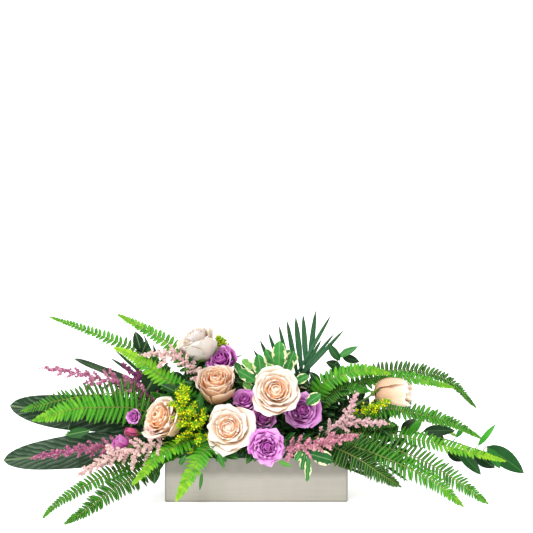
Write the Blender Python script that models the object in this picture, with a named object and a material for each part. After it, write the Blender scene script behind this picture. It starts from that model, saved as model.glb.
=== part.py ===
"""Floral table centerpiece: a long low planter box, a block of floral foam in it, and cut stems
pushed into the foam. Metres, +Z up. The origin is the middle of the planter's base, +X runs along
the planter and -Y is its front. The planting plan below is in millimetres."""

import bmesh
import bpy
import math
from mathutils import Vector

MM = 0.001

# Points nearer than this, in millimetres, count as one place.
WELD = 0.01

# Planter box, outside sizes.
PLANTER_LENGTH = 305.0
PLANTER_DEPTH = 100.0
PLANTER_HEIGHT = 75.0
PLANTER_WALL = 1.6
PLANTER_CORNER = 4.0
PLANTER_CORNER_STEPS = 4
PLANTER_FOOT = 2.0
PLANTER_FOOT_STEPS = 3

# Foam block: clear of the planter all round, standing proud of its rim.
FOAM_GAP = 1.0
FOAM_TOP = 95.0
FOAM_CHAMFER = 6.0

# Every stem goes into the foam: how deep, and how far the pegs lean outward with their place.
PEG_DEPTH = 30.0
PEG_LEAN_X = 0.10
PEG_LEAN_Y = 0.20
COLLAR = 5.0
SOCKET_CLEARANCE = 0.55

# How finely the solids are cut: sides round, and steps to each span of a route.
STEM_SIDES = 6
BLOOM_SIDES = 8
ROSE_STEPS = 2
FROND_STEPS = 3
TURN_RINGS = 4
SHARP_ANGLE = math.radians(35.0)
FRONT = Vector((0, -1, 0))
FRONT_AND_UP = Vector((0, -1, 0.35))

# Colours are linear RGB.
PEWTER = (0.36, 0.34, 0.30)
PEWTER_ROUGHNESS = 0.35
PEWTER_METALLIC = 0.8
PLANT_ROUGHNESS = 0.6
COLOURS = {
    "foam": (0.05, 0.16, 0.06),
    "cream_petal": (0.92, 0.72, 0.55),
    "lavender_petal": (0.50, 0.16, 0.48),
    "fern_green": (0.09, 0.36, 0.03),
    "dark_leaf": (0.02, 0.07, 0.02),
    "variegated_leaf": (0.20, 0.38, 0.14),
    "mauve_plume": (0.55, 0.20, 0.36),
    "yellow_buds": (0.60, 0.52, 0.03),
}

# Roses: name, colour, place in the foam, points on the way, base of bloom, middle of its face, radius.
ROSES = [
    ("cream_rose_1", "cream_petal", (-80, 10), [(-86, 16, 160)],
     (-84, 22, 226), (-110, 10, 281), 30),
    ("cream_rose_2", "cream_petal", (-62, -8), [(-64, -4, 130)],
     (-64, -2, 170), (-67, -44, 214), 29),
    ("cream_rose_3", "cream_petal", (-40, -36), [], (-37, -50, 117), (-40, -92, 136), 41),
    ("cream_rose_4", "cream_petal", (22, -20), [(28, -24, 135)],
     (31, -34, 171), (34, -76, 191), 39),
    ("cream_rose_5", "cream_petal", (-112, -22), [], (-126, -37, 119), (-164, -74, 153), 33),
    ("cream_rose_6", "cream_petal", (118, 2), [(155, -6, 144)],
     (197, -14, 177), (260, -20, 180), 25),
    ("cream_rose_7", "cream_petal", (-30, 36), [(-32, 44, 125)],
     (-34, 54, 142), (-38, 92, 162), 38),
    ("cream_rose_8", "cream_petal", (78, 34), [(82, 46, 120)], (85, 56, 134), (94, 94, 150), 36),
    ("spray_rose_1", "lavender_petal", (-50, 12), [(-52, 30, 165)],
     (-52, 32, 214), (-64, -2, 239), 17),
    ("spray_rose_2", "lavender_petal", (-22, -8), [(-19, -6, 125)],
     (-17, -8, 148), (-20, -28, 174), 18),
    ("spray_rose_3", "lavender_petal", (4, -22), [], (8, -32, 128), (12, -60, 149), 19),
    ("spray_rose_4", "lavender_petal", (56, -12), [], (72, -4, 142), (78, -40, 157), 30),
    ("spray_rose_5", "lavender_petal", (10, -38), [], (17, -62, 101), (18, -102, 105), 26),
    ("spray_rose_6", "lavender_petal", (-106, -6), [(-154, -26, 112), (-182, -36, 122)],
     (-192, -46, 139), (-208, -57, 148), 11),
    ("spray_rose_7", "lavender_petal", (26, 38), [], (28, 58, 112), (32, 96, 118), 28),
    ("rosebud_1", "lavender_petal", (-118, -10), [(-160, -38, 108)],
     (-194, -50, 117), (-217, -58, 123), 6),
    ("rosebud_2", "lavender_petal", (-126, -24), [(-180, -58, 99)],
     (-210, -78, 102), (-234, -86, 112), 10),
]

# Fern fronds: name, place in the foam, points on the way to the tip, half width, the way the blade
# faces, and the share of the route where the leaflets start.
FERNS = [
    ("fern_1", (-98, 26), [(-140, 24, 190), (-200, 22, 240), (-260, 30, 266), (-355, 42, 299)],
     11, (0, -0.5, 1), 0.35),
    ("fern_2", (-82, 26), [(-105, 32, 180), (-140, 34, 245), (-190, 50, 275), (-240, 64, 300)],
     12, (0, -1, 0.5), 0.45),
    ("fern_3", (-96, 10), [(-120, -4, 170), (-170, 0, 210), (-215, 6, 240), (-240, 10, 250)],
     13, (0, -1, 0.4), 0.32),
    ("fern_4", (-132, -10), [(-190, -25, 150), (-275, -42, 158), (-310, -48, 155),
     (-365, -58, 141)], 28, (0, -1, 0.3), 0.34),
    ("fern_5", (-128, 8), [(-195, -8, 168), (-245, -16, 177), (-320, -25, 169), (-392, -28, 150)],
     20, (0, -1, 0.4), 0.32),
    ("fern_6", (-140, -38), [(-205, -82, 72), (-255, -132, 60), (-308, -188, 37),
     (-327, -205, 20)], 13, (0.3, -0.6, 1), 0.28),
    ("fern_7", (-124, -40), [(-180, -88, 68), (-224, -152, 50), (-264, -204, 29),
     (-290, -217, 15)], 18, (0.3, -0.6, 1), 0.28),
    ("fern_8", (-92, -40), [(-110, -64, 108), (-155, -95, 92), (-180, -124, 69), (-195, -136, 55)],
     15, (-0.3, -0.6, 1), 0.25),
    ("fern_9", (-64, -40), [(-73, -66, 104), (-90, -86, 88), (-108, -106, 60), (-127, -122, 25)],
     17, (-0.3, -1, 0.8), 0.28),
    ("fern_10", (86, 10), [(96, 6, 150), (112, -8, 192), (146, -6, 207), (180, 0, 215),
     (226, 10, 206)], 12, (0, -0.5, 1), 0.42),
    ("fern_11", (94, -6), [(120, 8, 158), (180, 16, 190), (255, 20, 197), (336, 20, 180)],
     13, (0, -0.8, 1), 0.28),
    ("fern_12", (112, 28), [(160, 44, 176), (240, 52, 205), (325, 52, 190), (380, 50, 140)],
     9, (0, -0.5, 1), 0.42),
    ("fern_13", (136, -22), [(200, -42, 152), (255, -44, 150), (315, -45, 136), (372, -44, 108)],
     14, (0, -0.8, 1), 0.40),
    ("fern_14", (122, -24), [(175, -40, 120), (225, -46, 115), (310, -52, 97), (412, -54, 71)],
     18, (0, -0.8, 1), 0.22),
    ("fern_15", (112, -38), [(145, -72, 104), (210, -98, 87), (285, -116, 54), (330, -126, 17)],
     20, (0, -1, 0.8), 0.24),
    ("fern_16", (134, -38), [(175, -64, 102), (250, -76, 88), (320, -88, 52), (375, -98, 13)],
     20, (0, -1, 0.6), 0.24),
    ("fern_17", (96, -40), [(125, -74, 100), (165, -98, 86), (200, -118, 66), (228, -128, 50)],
     24, (0, -1, 0.6), 0.24),
    ("fern_18", (116, 42), [(160, 72, 128), (230, 100, 130), (310, 120, 104), (360, 128, 70)],
     16, (0, 1, 0.8), 0.28),
    ("fern_19", (-114, 40), [(-150, 72, 130), (-215, 100, 140), (-300, 122, 110), (-350, 132, 64)],
     18, (0, 1, 0.8), 0.26),
    ("fern_20", (-6, 42), [(-13, 72, 104), (-17, 104, 96), (-20, 132, 70), (-22, 150, 34)],
     18, (0, 1, 0.8), 0.28),
]

# Broad leaves: the same entries as the ferns.
LEAVES = [
    ("broad_leaf_1", (-142, 6), [(-200, -2, 126), (-250, -8, 139), (-330, -10, 143),
     (-415, -14, 156)], 32, (0, -1, 0.5), 0.28),
    ("broad_leaf_2", (-142, -8), [(-190, -26, 92), (-255, -34, 86), (-340, -42, 78),
     (-420, -50, 71)], 29, (0, -1, 0.6), 0.24),
    ("broad_leaf_3", (-130, 26), [(-160, 40, 140), (-200, 44, 172), (-262, 46, 203),
     (-315, 46, 226)], 9, (0, -0.5, 1), 0.35),
    ("ruscus_1", (98, 12), [(110, 34, 160), (128, 38, 205), (148, 40, 228), (172, 40, 248)],
     18, (0, -1, 0.3), 0.55),
    ("ruscus_2", (140, -6), [(200, -10, 112), (290, -6, 104), (370, -6, 80), (458, -8, 38)],
     26, (0, -1, 0.4), 0.30),
    ("variegated_sprig_1", (46, 2), [(44, 2, 150), (43, 3, 190), (38, 4, 230), (32, 6, 262)],
     28, (0, -1, 0.2), 0.40),
    ("variegated_sprig_2", (72, -38), [(84, -62, 108), (92, -82, 94), (98, -92, 72),
     (102, -95, 48)], 18, (0, -1, 0.2), 0.34),
]

# Plumes of astilbe and sprays of goldenrod: name, colour, place in the foam, points on the way to
# the tip, radius, and the share of the route where the flowers start.
PLUMES = [
    ("astilbe_1", "mauve_plume", (-112, 10), [(-160, 6, 150), (-210, 4, 180), (-290, -8, 208),
     (-363, -10, 220)], 8, 0.38),
    ("astilbe_2", "mauve_plume", (-114, 26), [(-150, 26, 130), (-190, 20, 165),
     (-200, 18, 195), (-198, 16, 222)], 8, 0.45),
    ("astilbe_3", "mauve_plume", (-142, -24), [(-190, -52, 98), (-250, -64, 98),
     (-310, -80, 94), (-368, -92, 85)], 9, 0.42),
    ("astilbe_4", "mauve_plume", (-108, -38), [(-150, -72, 106), (-206, -104, 98),
     (-250, -116, 84), (-288, -120, 62)], 12, 0.35),
    ("astilbe_5", "mauve_plume", (-66, 24), [(-90, 4, 190), (-114, -4, 224), (-155, 0, 243),
     (-198, 2, 238)], 9, 0.45),
    ("astilbe_6", "mauve_plume", (88, -24), [(116, -44, 116), (142, -56, 135),
     (180, -60, 138), (220, -60, 136)], 9, 0.30),
    ("astilbe_7", "mauve_plume", (56, -40), [(60, -74, 98), (92, -92, 106), (130, -96, 116),
     (168, -98, 126)], 12, 0.35),
    ("astilbe_8", "mauve_plume", (52, 40), [(48, 58, 135), (44, 80, 170), (42, 92, 190),
     (44, 98, 212)], 9, 0.45),
    ("goldenrod_1", "yellow_buds", (-86, -24), [(-92, -52, 122), (-104, -66, 145),
     (-114, -74, 165), (-122, -78, 182)], 16, 0.35),
    ("goldenrod_2", "yellow_buds", (-34, 14), [(-28, 16, 150), (-22, 16, 210), (-32, 15, 250),
     (-54, 14, 270)], 8, 0.72),
    ("goldenrod_3", "yellow_buds", (112, 16), [(150, 4, 128), (176, -24, 146),
     (192, -40, 160), (212, -46, 170)], 8, 0.58),
    ("goldenrod_4", "yellow_buds", (2, 20), [(10, 46, 150), (14, 60, 182), (16, 70, 202),
     (18, 76, 220)], 13, 0.50),
]

# Palm fans: name, place in the foam, points on the way to the hub, the way the fan faces, its
# middle direction, and each blade's turn from that direction in degrees with its length.
PALMS = [
    ("palm_fan_1", (60, 16), [(68, 40, 140), (79, 52, 203)], (0, -1, 0.05), (0, 0.1, 1),
     [(-69, 92), (-57, 91), (-44, 89), (-31, 88), (-20, 90), (-9, 94), (1, 97), (13, 108),
      (26, 106), (36, 86), (46, 100)], 2.8),
    ("palm_fan_2", (-98, 40), [(-130, 58, 130), (-165, 62, 165)], (0, -1, 0.3), (-1, 0.1, 1),
     [(-34, 110), (-22, 116), (-8, 104), (8, 96), (24, 92), (40, 90)], 3.0),
]


def principled(name, colour, roughness, metallic):
    material = bpy.data.materials.new(name)
    material.use_nodes = True
    shader = material.node_tree.nodes["Principled BSDF"]
    shader.inputs["Base Color"].default_value = (*colour, 1.0)
    shader.inputs["Roughness"].default_value = roughness
    shader.inputs["Metallic"].default_value = metallic
    material.diffuse_color = (*colour, 1.0)
    return material


def add_object(name, bm, material):
    bmesh.ops.recalc_face_normals(bm, faces=bm.faces)
    bmesh.ops.scale(bm, vec=(MM, MM, MM), verts=bm.verts)
    mesh = bpy.data.meshes.new(name)
    bm.to_mesh(mesh)
    bm.free()
    mesh.shade_smooth()
    mesh.set_sharp_from_angle(angle=SHARP_ANGLE)
    mesh.materials.append(material)
    obj = bpy.data.objects.new(name, mesh)
    bpy.context.scene.collection.objects.link(obj)
    return obj


def peg(place):
    """The straight end of a stem in the foam: its buried end, and its collar above the surface."""
    entry = Vector((place[0], place[1], FOAM_TOP))
    lean = Vector((entry.x * PEG_LEAN_X, entry.y * PEG_LEAN_Y, PEG_DEPTH))
    return entry - lean, entry + lean.normalized() * COLLAR


def smooth_route(points, steps):
    """Points on a smooth curve through the given ones, steps to each span, without the first."""
    ends = [points[0] * 2 - points[1]] + points + [points[-1] * 2 - points[-2]]
    out = []
    for a, b, c, d in zip(ends, ends[1:], ends[2:], ends[3:]):
        for i in range(1, steps + 1):
            t = i / steps
            linear = (c - a) * t
            square = (a * 2 - b * 5 + c * 4 - d) * t * t
            cube = (b * 3 - a - c * 3 + d) * t * t * t
            out.append((b * 2 + linear + square + cube) * 0.5)
    return out


def directions(path):
    ahead = path[1:] + [path[-1] * 2 - path[-2]]
    behind = [path[0] * 2 - path[1]] + path[:-1]
    return [(f - b).normalized() for f, b in zip(ahead, behind)]


def shares(path):
    """How far along the path each point lies, from 0 to 1."""
    lengths = [0.0]
    for a, b in zip(path, path[1:]):
        lengths.append(lengths[-1] + (b - a).length)
    return [length / lengths[-1] for length in lengths]


def add_ring(bm, centre, direction, facing, half_width, half_thickness, sides):
    side = direction.cross(facing).normalized()
    up = side.cross(direction).normalized()
    verts = []
    for i in range(sides):
        angle = math.tau * i / sides
        offset = side * (math.cos(angle) * half_width) + up * (math.sin(angle) * half_thickness)
        verts.append(bm.verts.new(centre + offset))
    return verts


def loft(path, widths, thicknesses, facing, sides):
    """A closed solid through flat rings along a path; it turns to face `facing` above the foam."""
    bm = bmesh.new()
    rings = []
    steps = directions(path)
    steps[0] = steps[1] = (path[1] - path[0]).normalized()
    for i, (centre, step) in enumerate(zip(path, steps)):
        turned = FRONT.lerp(facing.normalized(), min(1.0, max(0.0, (i - 1) / TURN_RINGS)))
        rings.append(add_ring(bm, centre, step, turned, widths[i], thicknesses[i], sides))
    for low, high in zip(rings, rings[1:]):
        for i in range(sides):
            j = (i + 1) % sides
            bm.faces.new((low[i], low[j], high[j], high[i]))
    bm.faces.new(rings[0][::-1])
    bm.faces.new(rings[-1])
    return bm


# A bloom swells from its neck to its rim: share of its depth, share of its radius.
ROSE_STEM = 2.3
BLOOM_NECK = 0.12
ROSE_PROFILE = [(0.0, 0.16), (0.10, 0.42), (0.32, 0.80), (0.62, 0.98), (0.84, 1.0), (0.97, 0.70),
                (1.0, 0.35)]


def make_rose(name, colour, place, via, base, face, radius):
    buried, collar = peg(place)
    base = Vector(base)
    face = Vector(face)
    lead = base - (face - base) * BLOOM_NECK
    route = [collar] + [Vector(p) for p in via] + [lead]
    path = [buried, collar] + smooth_route(route, ROSE_STEPS)
    widths = [ROSE_STEM] * len(path)
    for along, wide in ROSE_PROFILE:
        path.append(base.lerp(face, along))
        widths.append(max(ROSE_STEM, wide * radius))
    bm = loft(path, widths, widths, FRONT_AND_UP, BLOOM_SIDES)
    return add_object(name, bm, materials[colour])


FROND_STEM = 1.5
FROND_TAPER = 0.9
BLADE_THICKNESS = 0.8


def frond_width(share, start):
    """1 at the widest place of a blade, and a little more than 0 at its tip."""
    if share < start:
        return 0.0
    along = (share - start) / (1 - start)
    rise = min(1.0, along / 0.22) ** 0.8
    return rise * (1.0 - along ** 2.6)


def make_frond(name, place, via, half_width, facing, start, colour):
    buried, collar = peg(place)
    path = [buried, collar] + smooth_route([collar] + [Vector(p) for p in via], FROND_STEPS)
    widths = []
    thicknesses = []
    for share in shares(path):
        spread = frond_width(share, start)
        widths.append(max(FROND_STEM - FROND_TAPER * share, half_width * spread))
        thicknesses.append(FROND_STEM if share < start else BLADE_THICKNESS)
    bm = loft(path, widths, thicknesses, Vector(facing), STEM_SIDES)
    return add_object(name, bm, materials[colour])


PLUME_STEM = 1.4
PLUME_TAPER = 0.6


def make_plume(name, colour, place, via, radius, start):
    buried, collar = peg(place)
    path = [buried, collar] + smooth_route([collar] + [Vector(p) for p in via], FROND_STEPS)
    widths = []
    for share in shares(path):
        widths.append(max(PLUME_STEM - PLUME_TAPER * share, radius * frond_width(share, start)))
    bm = loft(path, widths, widths, FRONT_AND_UP, STEM_SIDES)
    return add_object(name, bm, materials[colour])


PALM_THICKNESS = 1.2
PALM_HUB = 9.0
PALM_SPLIT = 0.35
PALM_TIP = 0.4


def fan_faces(hub, up, across, blades, half_width):
    """The flat faces of a fan as lists of corners: a web from the heel to each blade, and the blades."""
    heel = hub - up * PALM_HUB
    faces = []
    last_split = None
    for turn, length in blades:
        angle = math.radians(turn)
        along = up * math.cos(angle) + across * math.sin(angle)
        beside = across * math.cos(angle) - up * math.sin(angle)
        split = hub + along * (PALM_HUB + length * PALM_SPLIT)
        tip = hub + along * length
        left_split = split - beside * half_width
        right_split = split + beside * half_width
        faces.append([left_split, tip - beside * PALM_TIP, tip + beside * PALM_TIP, right_split])
        faces.append([heel, left_split, right_split])
        if last_split:
            faces.append([heel, last_split, left_split])
        last_split = right_split
    return faces


def make_palm(name, place, via, facing, middle, blades, half_width):
    """A stem with a thin fan at its end: a flat sheet to the split, then one long blade each."""
    buried, collar = peg(place)
    path = [buried, collar] + smooth_route([collar] + [Vector(p) for p in via], ROSE_STEPS)
    widths = [FROND_STEM] * len(path)
    stem = loft(path, widths, widths, Vector(facing), STEM_SIDES)
    normal = Vector(facing).normalized()
    up = Vector(middle)
    up = (up - normal * up.dot(normal)).normalized()
    fan = bmesh.new()
    for corners in fan_faces(Vector(via[-1]), up, up.cross(normal), blades, half_width):
        fan.faces.new([fan.verts.new(corner) for corner in corners])
    bmesh.ops.remove_doubles(fan, verts=fan.verts, dist=WELD)
    bmesh.ops.translate(fan, vec=normal * (-PALM_THICKNESS / 2), verts=fan.verts)
    front = bmesh.ops.extrude_face_region(fan, geom=fan.faces[:])
    moved = [v for v in front["geom"] if isinstance(v, bmesh.types.BMVert)]
    bmesh.ops.translate(fan, vec=normal * PALM_THICKNESS, verts=moved)
    blade = add_object(name + "_blade", fan, materials["dark_leaf"])
    blade.hide_render = True
    blade.display_type = "WIRE"
    obj = add_object(name, stem, materials["dark_leaf"])
    union = obj.modifiers.new("fan", "BOOLEAN")
    union.operation = "UNION"
    union.object = blade
    return obj


ROUND = 0.5


def is_upright(edge):
    return abs(edge.verts[0].co.z - edge.verts[1].co.z) > WELD


def make_planter():
    """The planter: a box with rounded corners and foot, hollowed from its rim down to its floor."""
    bm = bmesh.new()
    bmesh.ops.create_cube(bm, size=1.0)
    bmesh.ops.scale(bm, vec=(PLANTER_LENGTH, PLANTER_DEPTH, PLANTER_HEIGHT), verts=bm.verts)
    bmesh.ops.translate(bm, vec=(0, 0, PLANTER_HEIGHT / 2), verts=bm.verts)
    upright = [e for e in bm.edges if is_upright(e)]
    bmesh.ops.bevel(bm, geom=upright, offset=PLANTER_CORNER, segments=PLANTER_CORNER_STEPS,
                    profile=ROUND, affect="EDGES")
    bottom = [e for e in bm.edges if max(v.co.z for v in e.verts) < WELD]
    bmesh.ops.bevel(bm, geom=bottom, offset=PLANTER_FOOT, segments=PLANTER_FOOT_STEPS,
                    profile=ROUND, affect="EDGES")
    top = [f for f in bm.faces if min(v.co.z for v in f.verts) > PLANTER_HEIGHT - WELD]
    bmesh.ops.inset_region(bm, faces=top, thickness=PLANTER_WALL, use_even_offset=True)
    drop = bmesh.ops.extrude_face_region(bm, geom=top)
    bmesh.ops.delete(bm, geom=top, context="FACES")
    floor = [v for v in drop["geom"] if isinstance(v, bmesh.types.BMVert)]
    bmesh.ops.translate(bm, vec=(0, 0, PLANTER_WALL - PLANTER_HEIGHT), verts=floor)
    return add_object("planter_box", bm, materials["pewter"])


def make_foam(places):
    """The foam block, with a socket for the peg of every stem."""
    bottom = PLANTER_WALL + FOAM_GAP
    margin = 2 * bottom
    bm = bmesh.new()
    bmesh.ops.create_cube(bm, size=1.0)
    size = (PLANTER_LENGTH - margin, PLANTER_DEPTH - margin, FOAM_TOP - bottom)
    bmesh.ops.scale(bm, vec=size, verts=bm.verts)
    bmesh.ops.translate(bm, vec=(0, 0, bottom + size[2] / 2), verts=bm.verts)
    upper = [e for e in bm.edges if is_upright(e) or min(v.co.z for v in e.verts) > bottom + WELD]
    bmesh.ops.bevel(bm, geom=upper, offset=FOAM_CHAMFER, segments=1, profile=ROUND, affect="EDGES")
    foam = add_object("floral_foam", bm, materials["foam"])
    cutters = bmesh.new()
    for place, radius, sides in places:
        buried, collar = peg(place)
        step = (collar - buried).normalized()
        wide = radius + SOCKET_CLEARANCE
        low = add_ring(cutters, buried - step * SOCKET_CLEARANCE, step, FRONT, wide, wide, sides)
        high = add_ring(cutters, collar + step * COLLAR, step, FRONT, wide, wide, sides)
        for i in range(sides):
            j = (i + 1) % sides
            cutters.faces.new((low[i], low[j], high[j], high[i]))
        cutters.faces.new(low[::-1])
        cutters.faces.new(high)
    cutter = add_object("foam_sockets", cutters, materials["foam"])
    cutter.hide_render = True
    cutter.display_type = "WIRE"
    cut = foam.modifiers.new("sockets", "BOOLEAN")
    cut.operation = "DIFFERENCE"
    cut.solver = "EXACT"
    cut.object = cutter
    return foam


for old in list(bpy.data.objects):
    bpy.data.objects.remove(old, do_unlink=True)

materials = {key: principled(key, tint, PLANT_ROUGHNESS, 0.0) for key, tint in COLOURS.items()}
materials["pewter"] = principled("pewter", PEWTER, PEWTER_ROUGHNESS, PEWTER_METALLIC)

make_planter()
sockets = []
for entry in ROSES:
    make_rose(*entry)
    sockets.append((entry[2], ROSE_STEM, BLOOM_SIDES))
for entry in FERNS:
    make_frond(*entry, "fern_green")
    sockets.append((entry[1], FROND_STEM, STEM_SIDES))
for entry in LEAVES:
    tint = "variegated_leaf" if entry[0].startswith("variegated") else "dark_leaf"
    make_frond(*entry, tint)
    sockets.append((entry[1], FROND_STEM, STEM_SIDES))
for entry in PLUMES:
    make_plume(*entry)
    sockets.append((entry[2], PLUME_STEM, STEM_SIDES))
for entry in PALMS:
    make_palm(*entry)
    sockets.append((entry[1], FROND_STEM, STEM_SIDES))
make_foam(sockets)
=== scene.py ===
import math

import bpy
import numpy as np
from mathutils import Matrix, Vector


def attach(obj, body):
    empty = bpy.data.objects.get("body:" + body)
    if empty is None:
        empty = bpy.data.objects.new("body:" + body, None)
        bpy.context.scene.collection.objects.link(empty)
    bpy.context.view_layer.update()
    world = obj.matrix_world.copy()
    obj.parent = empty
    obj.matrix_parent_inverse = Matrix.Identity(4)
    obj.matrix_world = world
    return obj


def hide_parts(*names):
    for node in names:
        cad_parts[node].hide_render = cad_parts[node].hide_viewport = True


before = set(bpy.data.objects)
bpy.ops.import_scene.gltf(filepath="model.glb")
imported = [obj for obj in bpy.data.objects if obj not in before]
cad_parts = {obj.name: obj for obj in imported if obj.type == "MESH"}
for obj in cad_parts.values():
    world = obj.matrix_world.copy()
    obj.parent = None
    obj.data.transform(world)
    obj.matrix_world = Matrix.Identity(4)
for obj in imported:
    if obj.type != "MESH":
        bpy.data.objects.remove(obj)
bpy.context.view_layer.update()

# The arrangement as a maker would put it together: a planter, its foam, and cut stems, each grown
# along the same route as its CAD solid. Lengths in the planting plan are millimetres.

MM = 0.001
SEED = 20261
RNG = np.random.default_rng(SEED)

# The planter, and the buried end of a stem: how deep it goes, how far it leans for each mm from the
# planter's middle, and how far above the foam its bend starts.
PLANTER_LENGTH = 305.0
PLANTER_DEPTH = 100.0
FOAM_TOP = 95.0
PEG_DEPTH = 30.0
PEG_LEAN_X = 0.10
PEG_LEAN_Y = 0.20
COLLAR = 5.0

# The turn from one petal or branch to the next, the angle from which an edge is sharp, the way
# stems and plumes face, and the least width of a blade's foot and tip.
GOLDEN_TURN = math.radians(137.5)
SHARP_EDGE = math.radians(50.0)
FORWARD = (0, -1, 0.3)
PLUME_FORWARD = (0, -1, 0.2)
LEAST_WIDTH = 0.015

# A rose less open than this keeps its petals bowed in, and one with fewer petals than this is a bud.
CLOSED_ROSE = 0.15
BUD_PETALS = 16

# Heights: a frond that stays under the first hides its foot in a ruff of leaves, a ruff grows at
# the second along its stem, and a sprig that starts above the third hangs on a stalk. A leaf wider
# than the last is toothed.
LOW_FROND = 125.0
RUFF_AT = 45.0
STALK_FROM = FOAM_TOP + 35.0
WIDE_LEAF = 15.0

# ---------------------------------------------------------------- planting plan

# Roses: place in the foam, points on the way, base of bloom, middle of its face, radius, petals,
# openness, ruffle, how grey and how tan the petals are outside, pointed petals or round.
CREAM_ROSES = {
    "cream_rose_1": ((-80, 10), [(-86, 16, 160)], (-84, 22, 226), (-110, 10, 281),
        37, 24, 0.75, 2.0, 1.0, 0.0, True),
    "cream_rose_2": ((-62, -8), [(-64, -4, 130)], (-65, -4, 166), (-68, -42, 214),
        32, 34, 0.24, 1.1, 0.0, 0.75, False),
    "cream_rose_3": ((-40, -36), [], (-42, -50, 118), (-46, -92, 138),
        44, 25, 1.0, 1.1, 0.35, 0.0, True),
    "cream_rose_4": ((22, -20), [(28, -24, 135)], (31, -34, 176), (33, -76, 198),
        42, 32, 0.9, 0.8, 0.1, 0.0, True),
    "cream_rose_5": ((-112, -22), [], (-130, -37, 121), (-168, -74, 155),
        36, 36, 0.68, 1.4, 0.0, 0.6, False),
    "cream_rose_6": ((118, 2), [(155, -6, 144)], (197, -14, 177), (260, -30, 178),
        27, 26, 0.14, 1.3, 0.3, 1.0, True),
    "cream_rose_7": ((-30, 36), [(-32, 44, 125)], (-34, 54, 142), (-38, 92, 162),
        39, 27, 0.8, 1.0, 0.2, 0.0, False),
    "cream_rose_8": ((78, 34), [(82, 46, 120)], (85, 56, 134), (94, 94, 150),
        37, 27, 0.7, 0.8, 0.2, 0.3, True),
}
SPRAY_ROSES = {
    "spray_rose_1": ((-50, 12), [(-52, 30, 165)], (-52, 32, 214), (-64, -2, 239),
        27, 24, 0.7, 1.6, 0.0, 0.0, False),
    "spray_rose_2": ((-22, -8), [(-19, -6, 125)], (-17, -8, 148), (-20, -28, 174),
        24, 22, 0.9, 1.7, 0.0, 0.0, False),
    "spray_rose_3": ((4, -22), [], (8, -32, 128), (12, -60, 149),
        22, 22, 0.7, 1.6, 0.0, 0.0, False),
    "spray_rose_4": ((56, -12), [], (72, -4, 142), (77, -40, 156),
        31, 28, 0.85, 1.7, 0.0, 0.0, False),
    "spray_rose_5": ((10, -38), [], (17, -62, 101), (18, -102, 105),
        32, 34, 0.9, 2.0, 0.0, 0.0, False),
    "spray_rose_6": ((-106, -6), [(-154, -26, 112), (-182, -36, 122)], (-196, -42, 142), (-205, -62, 148),
        14, 18, 0.7, 1.4, 0.0, 0.0, False),
    "spray_rose_7": ((26, 38), [], (28, 58, 112), (32, 96, 118),
        29, 28, 0.8, 2.2, 0.0, 0.0, False),
    "rosebud_1": ((-118, -10), [(-160, -38, 108)], (-194, -50, 117), (-217, -58, 123),
        7, 9, 0.0, 0.2, 1.0, 0.0, False),
    "rosebud_2": ((-126, -24), [(-180, -58, 99)], (-210, -78, 102), (-234, -86, 112),
        13, 14, 0.25, 0.9, 0.3, 0.0, False),
}

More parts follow.
